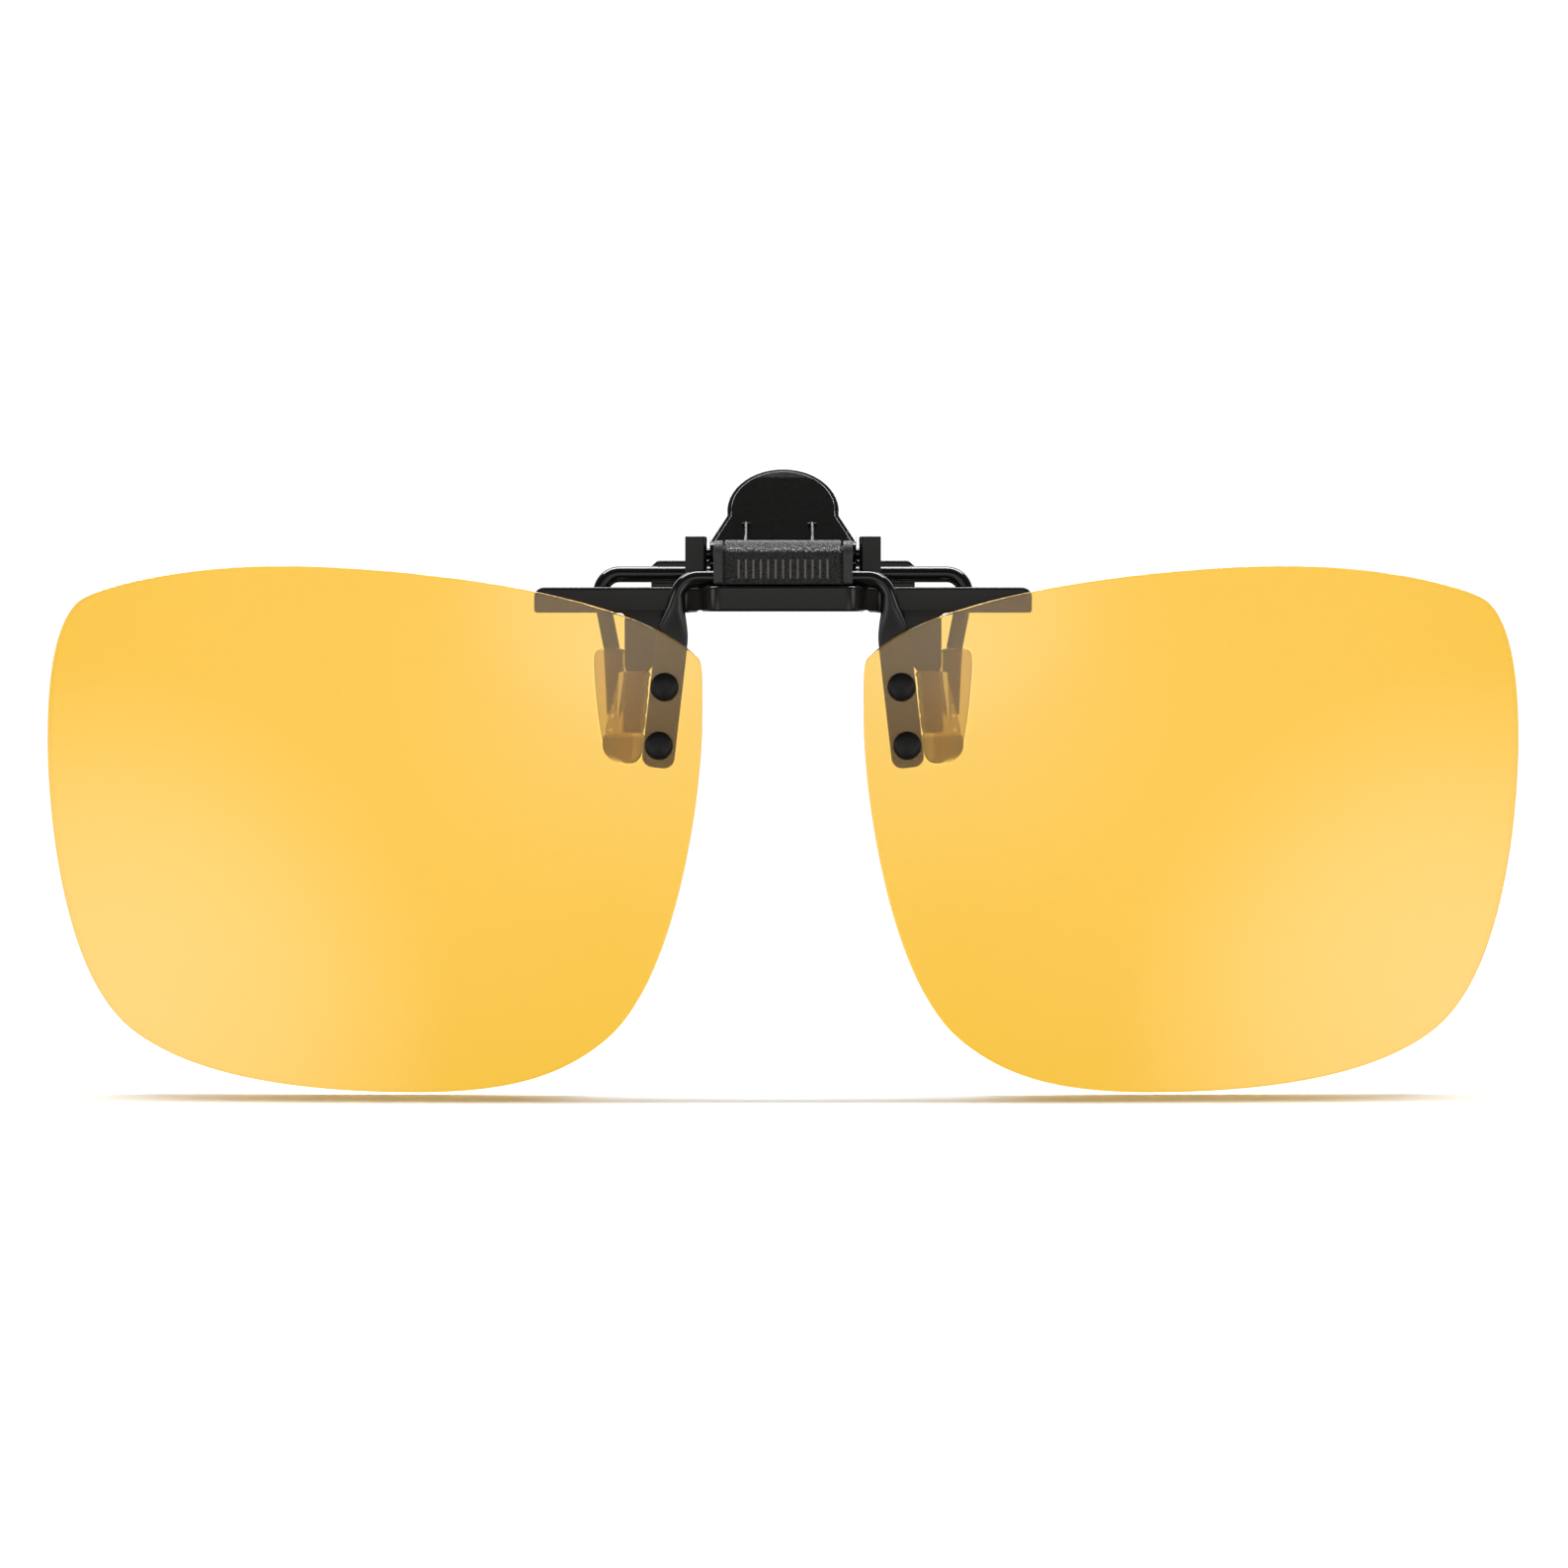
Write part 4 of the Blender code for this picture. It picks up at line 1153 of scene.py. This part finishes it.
def make_hinge_block(finish):
    """The block with its raised ends, grooved for the bridge wire and hollowed for the detent leaf."""
    front, back = BLOCK_Y
    low, high = BLOCK_Z
    outline = rounded(((front, low, 0.0), (back, low, 0.0), (back, high, 0.5), (front, high, 1.1)))
    length = 2 * BLOCK_HALF - BLOCK_TRIM
    hinge = plate("hinge_block_moulded", outline, length, 0.0, "YZ", edge=BLOCK_EDGE)
    shoulder_outline = rounded(
        (
            (SHOULDER_FRONT, low + INSET, 0.25),
            (back + INSET, low + INSET, 0.0),
            (back + INSET, SHOULDER_TOP, 0.4),
            (SHOULDER_FRONT, SHOULDER_TOP, 1.35),
        ),
        steps=12,
    )
    inner, outer = SHOULDER_X
    shoulders = [
        plate(
            f"shoulder_{side}",
            shoulder_outline,
            outer - inner,
            side * (inner + outer) / 2,
            "YZ",
            edge=SHOULDER_EDGE,
        )
        for side in (-1, 1)
    ]
    combine(hinge, shoulders, "UNION")
    below = low - 1.0
    arch = [(FLIP_Y + CHANNEL_R, below), (FLIP_Y - CHANNEL_R, below)]
    for step in range(CHANNEL_STEPS + 1):
        turn = pi * step / CHANNEL_STEPS
        arch.append((FLIP_Y - CHANNEL_R * cos(turn), FLIP_Z + CHANNEL_R * sin(turn)))
    channel = plate("wire_channel", arch, 2 * (BLOCK_HALF + 1.0), 0.0, "YZ")
    half_x, half_y = POCKET_HALF
    pocket = block(
        "spring_pocket", (-half_x, FLIP_Y - half_y, below), (half_x, FLIP_Y + half_y, POCKET_TOP)
    )
    combine(hinge, [channel, pocket], "DIFFERENCE")
    hand_over(settle(hinge), "hinge_block", finish)


def make_hinge_cover(finish, rib_finish, tree):
    """The shell over the block's front and top, with its row of upright ribs."""
    inner_y = BLOCK_Y[0] - GAP
    outer_y = inner_y - COVER_WALL
    inner_z = BLOCK_Z[1] + GAP
    outer_z = inner_z + COVER_WALL
    outline = rounded(
        (
            (outer_y, BLOCK_Z[0], 0.0),
            (inner_y, BLOCK_Z[0], 0.0),
            (inner_y, inner_z, 1.15),
            (COVER_BACK, inner_z, 0.0),
            (COVER_BACK, outer_z, 0.0),
            (outer_y, outer_z, 1.5),
        ),
        steps=12,
    )
    cover = plate("hinge_cover_grained", outline, 2 * COVER_HALF, 0.0, "YZ", edge=COVER_EDGE)
    hand_over(settle(cover), "hinge_cover", finish)
    first = -RIB_PITCH * (RIB_COUNT - 1) / 2
    ribs = laid_row(
        "hinge_cover_ribs",
        tree,
        rib_finish,
        RIB_COUNT,
        (first, outer_y + RIB_RADIUS - RIB_PROUD, RIB_MIDDLE_Z),
        (RIB_PITCH, 0, 0),
        (0, 0, RIB_HEIGHT / 2),
        RIB_RADIUS,
    )
    ribs = settle(ribs)
    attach(ribs, body_of("hinge_cover"))


def make_detent_spring(finish):
    """A leaf bowed down onto the bridge wire, which holds the lenses up or down."""
    low = FLIP_Z + WIRE_R + LEAF_THICKNESS
    half, half_wide = LEAF_HALF
    centre_line = []
    for step in range(LEAF_STEPS + 1):
        x = half * (2 * step / LEAF_STEPS - 1)
        centre_line.append((x, low + LEAF_BOW * (x / half) ** 2))
    upper = [(x, z + LEAF_THICKNESS / 2) for x, z in centre_line]
    lower = [(x, z - LEAF_THICKNESS / 2) for x, z in reversed(centre_line)]
    leaf = plate("detent_leaf", upper + lower, 2 * half_wide, FLIP_Y, "XZ", edge=LEAF_EDGE)
    hand_over(settle(leaf), "detent_spring", finish)


# Clamp pivot


def make_hinge_pin(finish):
    """The pin through the ears, with a low domed head at each end."""
    end = EAR_X[0] + SHEET + GAP
    cap = dome(PIN_HEAD_R, PIN_HEAD_HEIGHT, end + PIN_HEAD_SKIRT, steps=8)
    half = (*cap, (PIN_HEAD_R, end), (PIN_R, end))
    profile = half + tuple((radius, -height) for radius, height in reversed(half))
    pin = turned("hinge_pin_headed", profile, (0.0, PIN_Y, PIN_Z), (1, 0, 0), steps=32)
    hand_over(settle(pin), "hinge_pin", finish)


def tab_point(along, across=0.0):
    """y and z at a distance up the leaning tab from its bend, and forward of its middle."""
    y = LEVER_FOOT_Y + along * sin(LEVER_LEAN) - across * cos(LEVER_LEAN)
    z = LEVER_BEND_Z + along * cos(LEVER_LEAN) + across * sin(LEVER_LEAN)
    return y, z


def make_torsion_spring(finish):
    """Two coils on the pin: each outer end hooks into the tab, a loop between them bears down."""
    hook = tab_point(SPRING_HOOK)
    bend = tab_point(SPRING_HOOK, LEVER_SHEET / 2 + SPRING_STANDOFF)
    reach = hypot(bend[0] - PIN_Y, bend[1] - PIN_Z)
    first = atan2(bend[1] - PIN_Z, bend[0] - PIN_Y) + acos(COIL_R / reach)
    last = pi + 2 * pi * SPRING_TURNS
    steps = SPRING_TURN_STEPS * SPRING_TURNS
    middle = sum(SPRING_LEG_X) / 2
    offset = SPRING_LEG_X[1] - middle
    half = [(offset, *hook), (offset, *bend)]
    for step in range(steps + 1):
        angle = first + (last - first) * step / steps
        x = offset - SPRING_PITCH * (angle - first) / (2 * pi)
        half.append((x, PIN_Y + COIL_R * cos(angle), PIN_Z + COIL_R * sin(angle)))
    rest = BAR_HEIGHT + SPRING_WIRE_R + 0.06
    half.append((half[-1][0], PIN_Y - COIL_R, rest + 0.4))
    half.append((half[-1][0] - 0.3, PIN_Y - COIL_R, rest))
    route = [(middle - x, y, z) for x, y, z in half]
    route += [(middle + x, y, z) for x, y, z in reversed(half)]
    wound = tube("torsion_spring_coiled", route, SPRING_WIRE_R, resolution=4)
    spring = settle(wound, flat_faces=False, crease=50.0)
    dress(spring, "torsion_spring", finish)
    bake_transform(spring)


# Thumb lever


def tab_outline():
    """The lever's face, flat in its own plane: round tab, flared shoulders and foot."""
    rise = 1.0 / cos(LEVER_LEAN)
    top = (TAB_TOP_Z - LEVER_BEND_Z) * rise
    centre = top - TAB_R
    shoulder = (SHOULDER_RISE_Z - LEVER_BEND_Z) * rise
    arc = [
        (TAB_R * cos(angle), centre + TAB_R * sin(angle))
        for angle in [pi * step / 64 for step in range(65)]
    ]
    half = CHEEK_X[1]
    neck = centre - 0.7
    right = [(half, -0.6), (half, shoulder), (TAB_R, neck)]
    return [*right, *arc, *mirror_x(reversed(right))]


def foot_outline():
    """Front view of the long foot, which carries the rear wire."""
    half = LEVER_FOOT_HALF
    right = ((half, LEVER_FOOT_Z, 0.3), (half, 4.5, 0.3), (half - 0.6, 5.05, 0.5), (7.0, 5.05, 0.2))
    shoulder = ((CHEEK_X[1], LEVER_BEND_Z + 0.5, 0.0),)
    left = tuple((-x, z, r) for x, z, r in reversed(right + shoulder))
    return rounded(right + shoulder + left, steps=6)


def cheek_outline():
    """Side view of a cheek, from the pin back to the plate and up along the tab."""
    top_y, top_z = tab_point(2.2)
    above_wire = REAR_Z + REAR_WIRE_R + 0.12
    return rounded(
        (
            (PIN_Y - 1.2, above_wire, 1.0),
            (LEVER_FOOT_Y + 0.1, above_wire, 0.0),
            (LEVER_FOOT_Y + 0.1, LEVER_BEND_Z, 0.0),
            (top_y, top_z, 0.0),
            (PIN_Y - 1.2, PIN_Z + 1.2, 1.1),
        ),
        steps=10,
    )


def make_thumb_lever(finish):
    """The foot, the leaning tab with its coined rim, and a cheek each side that turns on the pin."""
    lever = plate(
        "thumb_lever_stamped", foot_outline(), LEVER_SHEET, LEVER_FOOT_Y, "XZ", edge=LEVER_EDGE
    )
    face = [Vector(spot) for spot in tab_outline()]
    tab = plate("tab", inset_outline(face, -TAB_RIM), LEVER_SHEET, 0.0, "XY", edge=TAB_EDGE)
    rim_sheet = LEVER_SHEET - TAB_STEP
    rim = plate("tab_rim", face, rim_sheet, -TAB_STEP / 2, "XY", edge=TAB_RIM_EDGE)
    lean = Matrix.Rotation(pi / 2 - LEVER_LEAN, 4, "X")
    at_bend = Vector((0, LEVER_FOOT_Y, LEVER_BEND_Z)) * MM
    tab.matrix_world = Matrix.Translation(at_bend) @ lean
    rim.matrix_world = Matrix.Translation(at_bend) @ lean @ Matrix.Translation(rim.location)
    half_x, half_y = SPRING_SLOT
    slot_y, slot_z = tab_point(SPRING_HOOK)
    at_slots = Vector((0, slot_y, slot_z)) * MM
    lip = tab_point(SPRING_HOOK + half_y, LEVER_SHEET / 2)
    cheek_middle = sum(CHEEK_X) / 2
    cheek_wall = CHEEK_X[1] - CHEEK_X[0] - CHEEK_PLAY
    beyond = CHEEK_X[1] + 0.6
    pieces = [tab, rim]
    cutters = [
        cylinder("lever_hole", LEVER_BORE_R, (-beyond, PIN_Y, PIN_Z), (beyond, PIN_Y, PIN_Z))
    ]
    for x in SPRING_LEG_X:
        ends = [(x - half_x, *lip), (x + half_x, *lip)]
        pieces.append(cylinder("slot_lip", SPRING_LIP_R, *ends, segments=16))
        low = (x - half_x, -half_y, -LEVER_SHEET)
        slot = block(f"spring_slot_{x:.0f}", low, (x + half_x, half_y, LEVER_SHEET))
        slot.matrix_world = Matrix.Translation(at_slots) @ lean
        cutters.append(slot)
    for side in (-1, 1):
        middle = side * cheek_middle
        cheek = plate(f"cheek_{side}", cheek_outline(), cheek_wall, middle, "YZ", edge=CHEEK_EDGE)
        pieces.append(cheek)
    combine(lever, pieces, "UNION")
    combine(lever, cutters, "DIFFERENCE")
    hand_over(settle(lever), "thumb_lever", finish)


# Rear wire and grip sleeves


def make_rear_wire(finish):
    """The wire behind the lever's foot, with an end bent down into each rear pad."""
    start = (0.0, REAR_Y, REAR_Z, 0.0)
    right = rounded((start,) + REAR_ROUTE, steps=16)
    route = [*mirror_x(reversed(right[1:])), *right]
    wire = settle(tube("rear_wire_formed", route, REAR_WIRE_R), flat_faces=False, crease=50.0)
    hand_over(wire, "rear_wire", finish)


def make_front_sleeve(side, finish, tree):
    """A soft pad over one leg of the base bar: wider at the back, solid below the leg's end."""
    name = "right" if side > 0 else "left"
    front, back = FRONT_PAD_Y
    rings = []
    for z, inner, outer in FRONT_PAD:
        spread = min((outer - inner) / PAD_FULL_WIDTH, 1.0)
        slant = FRONT_PAD_SLANT * spread
        depth = min(spread * 1.25, 1.0)
        mid = (front + back) / 2
        near = mid + (front - mid) * depth
        far = mid + (back - mid) * depth
        corner = 0.45 * spread
        section = rounded(
            (
                (side * inner, far, corner),
                (side * outer, far, corner * 0.6),
                (side * outer, far - 0.8 * spread, corner * 0.6),
                (side * (outer - slant), near, corner),
                (side * inner, near, corner),
            ),
            steps=2,
        )
        rings.append([(spot.x, spot.y, z) for spot in section])
    sleeve = loft(f"front_sleeve_{name}_moulded", rings)
    soften(sleeve)
    leg_y = (WING_Y - SHEET / 2 + STRETCH_FIT, WING_Y + SHEET / 2 - STRETCH_FIT)
    (neck_inner, _), (neck_outer, _) = LEG_NECK
    toe_inner, toe_outer = LEG_TOE_X
    cavity = wedge(
        f"leg_cavity_{name}",
        (*sided(side, neck_inner, neck_outer - STRETCH_FIT), *leg_y, FRONT_PAD[0][0] + 0.5),
        (*sided(side, toe_inner, toe_outer - STRETCH_FIT), *leg_y, LEG_END + STRETCH_FIT),
    )
    notches = [
        laid_row(
            f"grip_notches_{edge}_{name}",
            tree,
            finish,
            NOTCH_COUNT,
            (side * x_top, 0.0, NOTCH_TOP),
            (side * NOTCH_STEP[0], 0.0, NOTCH_STEP[1]),
            (0.0, NOTCH_REACH, 0.0),
            NOTCH_RADIUS,
        )
        for edge, x_top in NOTCH_X.items()
    ]
    combine(sleeve, [cavity, *notches], "DIFFERENCE")
    sleeve = settle(sleeve, flat_faces=False, crease=45.0)
    hand_over(sleeve, f"front_sleeve_{name}", finish)


def make_rear_sleeve(side, finish):
    """A soft rounded pad over one end of the rear wire."""
    name = "right" if side > 0 else "left"
    front, back = REAR_PAD_Y
    rings = []
    for z, inner, outer in REAR_PAD:
        spread = min((outer - inner) / PAD_FULL_WIDTH, 1.0)
        mid = (front + back) / 2
        near = mid + (front - mid) * spread
        far = mid + (back - mid) * spread
        corner = 0.95 * spread
        section = rounded(
            (
                (side * inner, far, corner),
                (side * outer, far, corner),
                (side * outer, near, corner),
                (side * inner, near, corner),
            ),
            steps=3,
        )
        rings.append([(spot.x, spot.y, z) for spot in section])
    sleeve = loft(f"rear_sleeve_{name}_moulded", rings)
    soften(sleeve)
    high = Vector(REAR_ROUTE[-2][:3])
    low = Vector(REAR_ROUTE[-1][:3])
    along = (high - low).normalized()
    high = high + along * 1.2
    low = low + along * STRETCH_FIT
    bore = cylinder(
        f"wire_bore_{name}",
        REAR_WIRE_R - STRETCH_FIT,
        (side * high.x, high.y, high.z),
        (side * low.x, low.y, low.z),
    )
    combine(sleeve, [bore], "DIFFERENCE")
    sleeve = settle(sleeve, flat_faces=False, crease=45.0)
    hand_over(sleeve, f"rear_sleeve_{name}", finish)


# Studio


def make_floor():
    """A white table top just under the lenses, fading into the white surround."""
    low = (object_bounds()[0][2] / MM) - FLOOR_DROP
    shape = bmesh.new()
    bmesh.ops.create_grid(shape, x_segments=24, y_segments=24, size=FLOOR_HALF)
    bmesh.ops.translate(shape, vec=(0, 0, low), verts=shape.verts)
    floor = from_bmesh("studio_floor", shape)
    # Matt white laminate: it gives only a soft contact shadow under the lenses
    made, tree, shader = start_finish("white_table_laminate", "#F4F4F2", Roughness=0.6)
    place = add_node(tree, "ShaderNodeTexCoord")
    flat = add_node(
        tree, "ShaderNodeVectorMath", {0: place.outputs["Object"], 1: (1, 1, 0)}, operation="MULTIPLY"
    )
    away = add_node(tree, "ShaderNodeVectorMath", {0: flat.outputs[0]}, operation="LENGTH")
    fade = add_node(
        tree,
        "ShaderNodeMapRange",
        {
            "Value": away.outputs["Value"],
            "From Min": FLOOR_HALF * FLOOR_FADE[0] * MM,
            "From Max": FLOOR_HALF * FLOOR_FADE[1] * MM,
            "To Min": 1.0,
            "To Max": 0.0,
        },
        interpolation_type="SMOOTHSTEP",
    )
    tree.links.new(fade.outputs["Result"], shader.inputs["Alpha"])
    floor.data.materials.append(made)
    floor.visible_glossy = False
    floor.visible_transmission = False


def make_world():
    """White surround for what is seen directly, and a soft studio for what is reflected."""
    world = bpy.data.worlds.new("soft_white_studio")
    bpy.context.scene.world = world
    world.use_nodes = True
    tree = world.node_tree
    tree.nodes.clear()
    place = add_node(tree, "ShaderNodeTexCoord")
    way = add_node(tree, "ShaderNodeSeparateXYZ", {0: place.outputs["Generated"]})
    wall_start, wall_full, wall_glow = BACK_WALL
    behind = add_node(
        tree,
        "ShaderNodeMapRange",
        {
            "Value": way.outputs["Y"],
            "From Min": wall_start,
            "From Max": wall_full,
            "To Min": 0.0,
            "To Max": wall_glow,
        },
        interpolation_type="SMOOTHSTEP",
    )
    wide = add_node(tree, "ShaderNodeMath", {0: way.outputs["X"]}, operation="ABSOLUTE")
    mirrored = add_node(
        tree,
        "ShaderNodeCombineXYZ",
        {"X": wide.outputs[0], "Y": way.outputs["Y"], "Z": way.outputs["Z"]},
    )
    glow = behind.outputs["Result"]
    for aim, spread, strength in GLOWS:
        near = add_node(
            tree,
            "ShaderNodeVectorMath",
            {0: mirrored.outputs[0], 1: Vector(aim).normalized()},
            operation="DOT_PRODUCT",
        )
        lobe = add_node(
            tree,
            "ShaderNodeMapRange",
            {
                "Value": near.outputs["Value"],
                "From Min": cos(spread),
                "From Max": 1.0,
                "To Min": 0.0,
                "To Max": strength,
            },
            interpolation_type="SMOOTHSTEP",
        )
        total = add_node(tree, "ShaderNodeMath", {0: glow, 1: lobe.outputs["Result"]}, operation="ADD")
        glow = total.outputs[0]
    studio = add_node(tree, "ShaderNodeMath", {0: glow, 1: STUDIO_DIM}, operation="ADD")
    path = add_node(tree, "ShaderNodeLightPath")
    through = add_node(
        tree,
        "ShaderNodeMapRange",
        {
            "Value": way.outputs["Z"],
            "From Min": SEEN_THROUGH[0],
            "From Max": SEEN_THROUGH[1],
            "To Min": path.outputs["Is Transmission Ray"],
            "To Max": 0.0,
        },
        interpolation_type="SMOOTHSTEP",
    )
    seen = add_node(
        tree,
        "ShaderNodeMath",
        {0: path.outputs["Is Camera Ray"], 1: through.outputs["Result"]},
        operation="MAXIMUM",
    )
    radiance = add_node(
        tree,
        "ShaderNodeMix",
        {"Factor": seen.outputs[0], 2: studio.outputs[0], 3: SURROUND},
        data_type="FLOAT",
    )
    sky = add_node(
        tree, "ShaderNodeBackground", {"Color": (1, 1, 1, 1), "Strength": radiance.outputs[0]}
    )
    add_node(tree, "ShaderNodeOutputWorld", {"Surface": sky.outputs[0]})


def make_softbox():
    """A long softbox overhead and a little behind, which draws a line along each upper edge."""
    data = bpy.data.lights.new("strip_above", "AREA")
    data.shape = "RECTANGLE"
    data.size = SOFTBOX_SIZE[0] * MM
    data.size_y = SOFTBOX_SIZE[1] * MM
    data.energy = SOFTBOX_POWER
    lamp = add_object("strip_above", data)
    lamp.location = Vector(SOFTBOX_AT) * MM
    lamp.rotation_euler = (-lamp.location).to_track_quat("-Z", "Y").to_euler()
    lamp.visible_camera = False
    lamp.visible_transmission = False


def make_camera():
    """A level camera straight in front."""
    data = bpy.data.cameras.new("front_camera")
    data.sensor_width = SENSOR
    lens_distance = LENS_DEPTH - CAMERA_AT[1]
    data.lens = SENSOR * lens_distance / VIEW_WIDTH
    data.clip_start = 0.01
    camera = add_object("front_camera", data)
    camera.location = Vector(CAMERA_AT) * MM
    camera.rotation_euler = (pi / 2, 0, 0)
    bpy.context.scene.camera = camera


amber = amber_polycarbonate()
# Satin enamel on the bar: its flat faces go an even charcoal, and its bends catch soft highlights
bar_paint = painted_steel("satin_black_painted_steel", "#161513", 0.2, 0.35, 0.006, 0.25)
# Gloss enamel on drawn wire: a deep black with one sharp bright line along each bend
wire_paint = painted_steel("gloss_black_painted_steel", "#0E0E0D", 0.14, 0.5, 0.004, 0.4)
# Gloss enamel on the pressed lever: nearly black from the front, and mirror-like at a slant
lever_paint = painted_steel("gloss_black_painted_lever", "#0B0B0A", 0.15, 0.5, 0.004, 0.28)
# Matt enamel on the cold-headed rivets: domes with a broad dull highlight
rivet_paint = painted_steel("black_painted_rivet_steel", "#121110", 0.38, 0.2, 0.01, 0.22)
# Coarse spark grain on the cover: it glitters along the rounded top edge, and its crests carry a painted
# highlight
cover_grain = grained_plastic("spark_grained_black_abs", "#0F0F0F", "#302F2D", 0.25, 0.24, 0.19, 0.42)
# Fine spark grain on the block: a plain satin that is a little greyer than the steel, with a faint painted
# highlight on its crests
block_plastic = grained_plastic("satin_black_abs", "#272726", "#343332", 0.4, 0.3, 0.02, 0.35)
# The cover's ribs: a paler grey than the cover, with a painted highlight on their grain crests
rib_plastic = grained_plastic("pale_black_abs_ribs", "#454340", "#5A5753", 0.4, 0.16, 0.02, 0.5)
spring_wire = blackened_spring_steel()
# Thick silicone, slightly smoky: the steel leg inside it shows as a soft shade
front_silicone = clear_moulding("smoky_clear_silicone", "#DCD4C2", 0.78, 1.41, "#A0967F")
# Thinner silicone: clearer, so that the wire's end shows plainly
rear_silicone = clear_moulding("clear_silicone_pad", "#D8D0BE", 0.92, 1.41)
# Natural nylon: milky-clear rings that hardly show behind the lens
washer_nylon = clear_moulding("clear_moulded_nylon", "#E8E6E0", 0.85, 1.53)

rod_rows = row_tree()
for side_name, side_sign in (("left", -1), ("right", 1)):
    make_lens(f"lens_{side_name}_tinted", side_sign, amber)
    make_front_sleeve(side_sign, front_silicone, rod_rows)
    make_rear_sleeve(side_sign, rear_silicone)
    for level_name, (rivet_x, rivet_z) in RIVETS.items():
        place_name = f"{side_name}_{level_name}"
        make_rivet(f"rivet_{place_name}", side_sign * rivet_x, rivet_z, level_name == "lower", rivet_paint)
        make_washer(f"washer_{place_name}", side_sign * rivet_x, rivet_z, washer_nylon)
make_bridge_wire(wire_paint)
make_base_bar(bar_paint)
make_hinge_block(block_plastic)
make_hinge_cover(cover_grain, rib_plastic, rod_rows)
make_detent_spring(spring_wire)
make_hinge_pin(wire_paint)
make_torsion_spring(spring_wire)
make_thumb_lever(lever_paint)
make_rear_wire(wire_paint)

make_floor()
make_world()
make_softbox()
make_camera()
bpy.context.scene.view_settings.view_transform = "Standard"
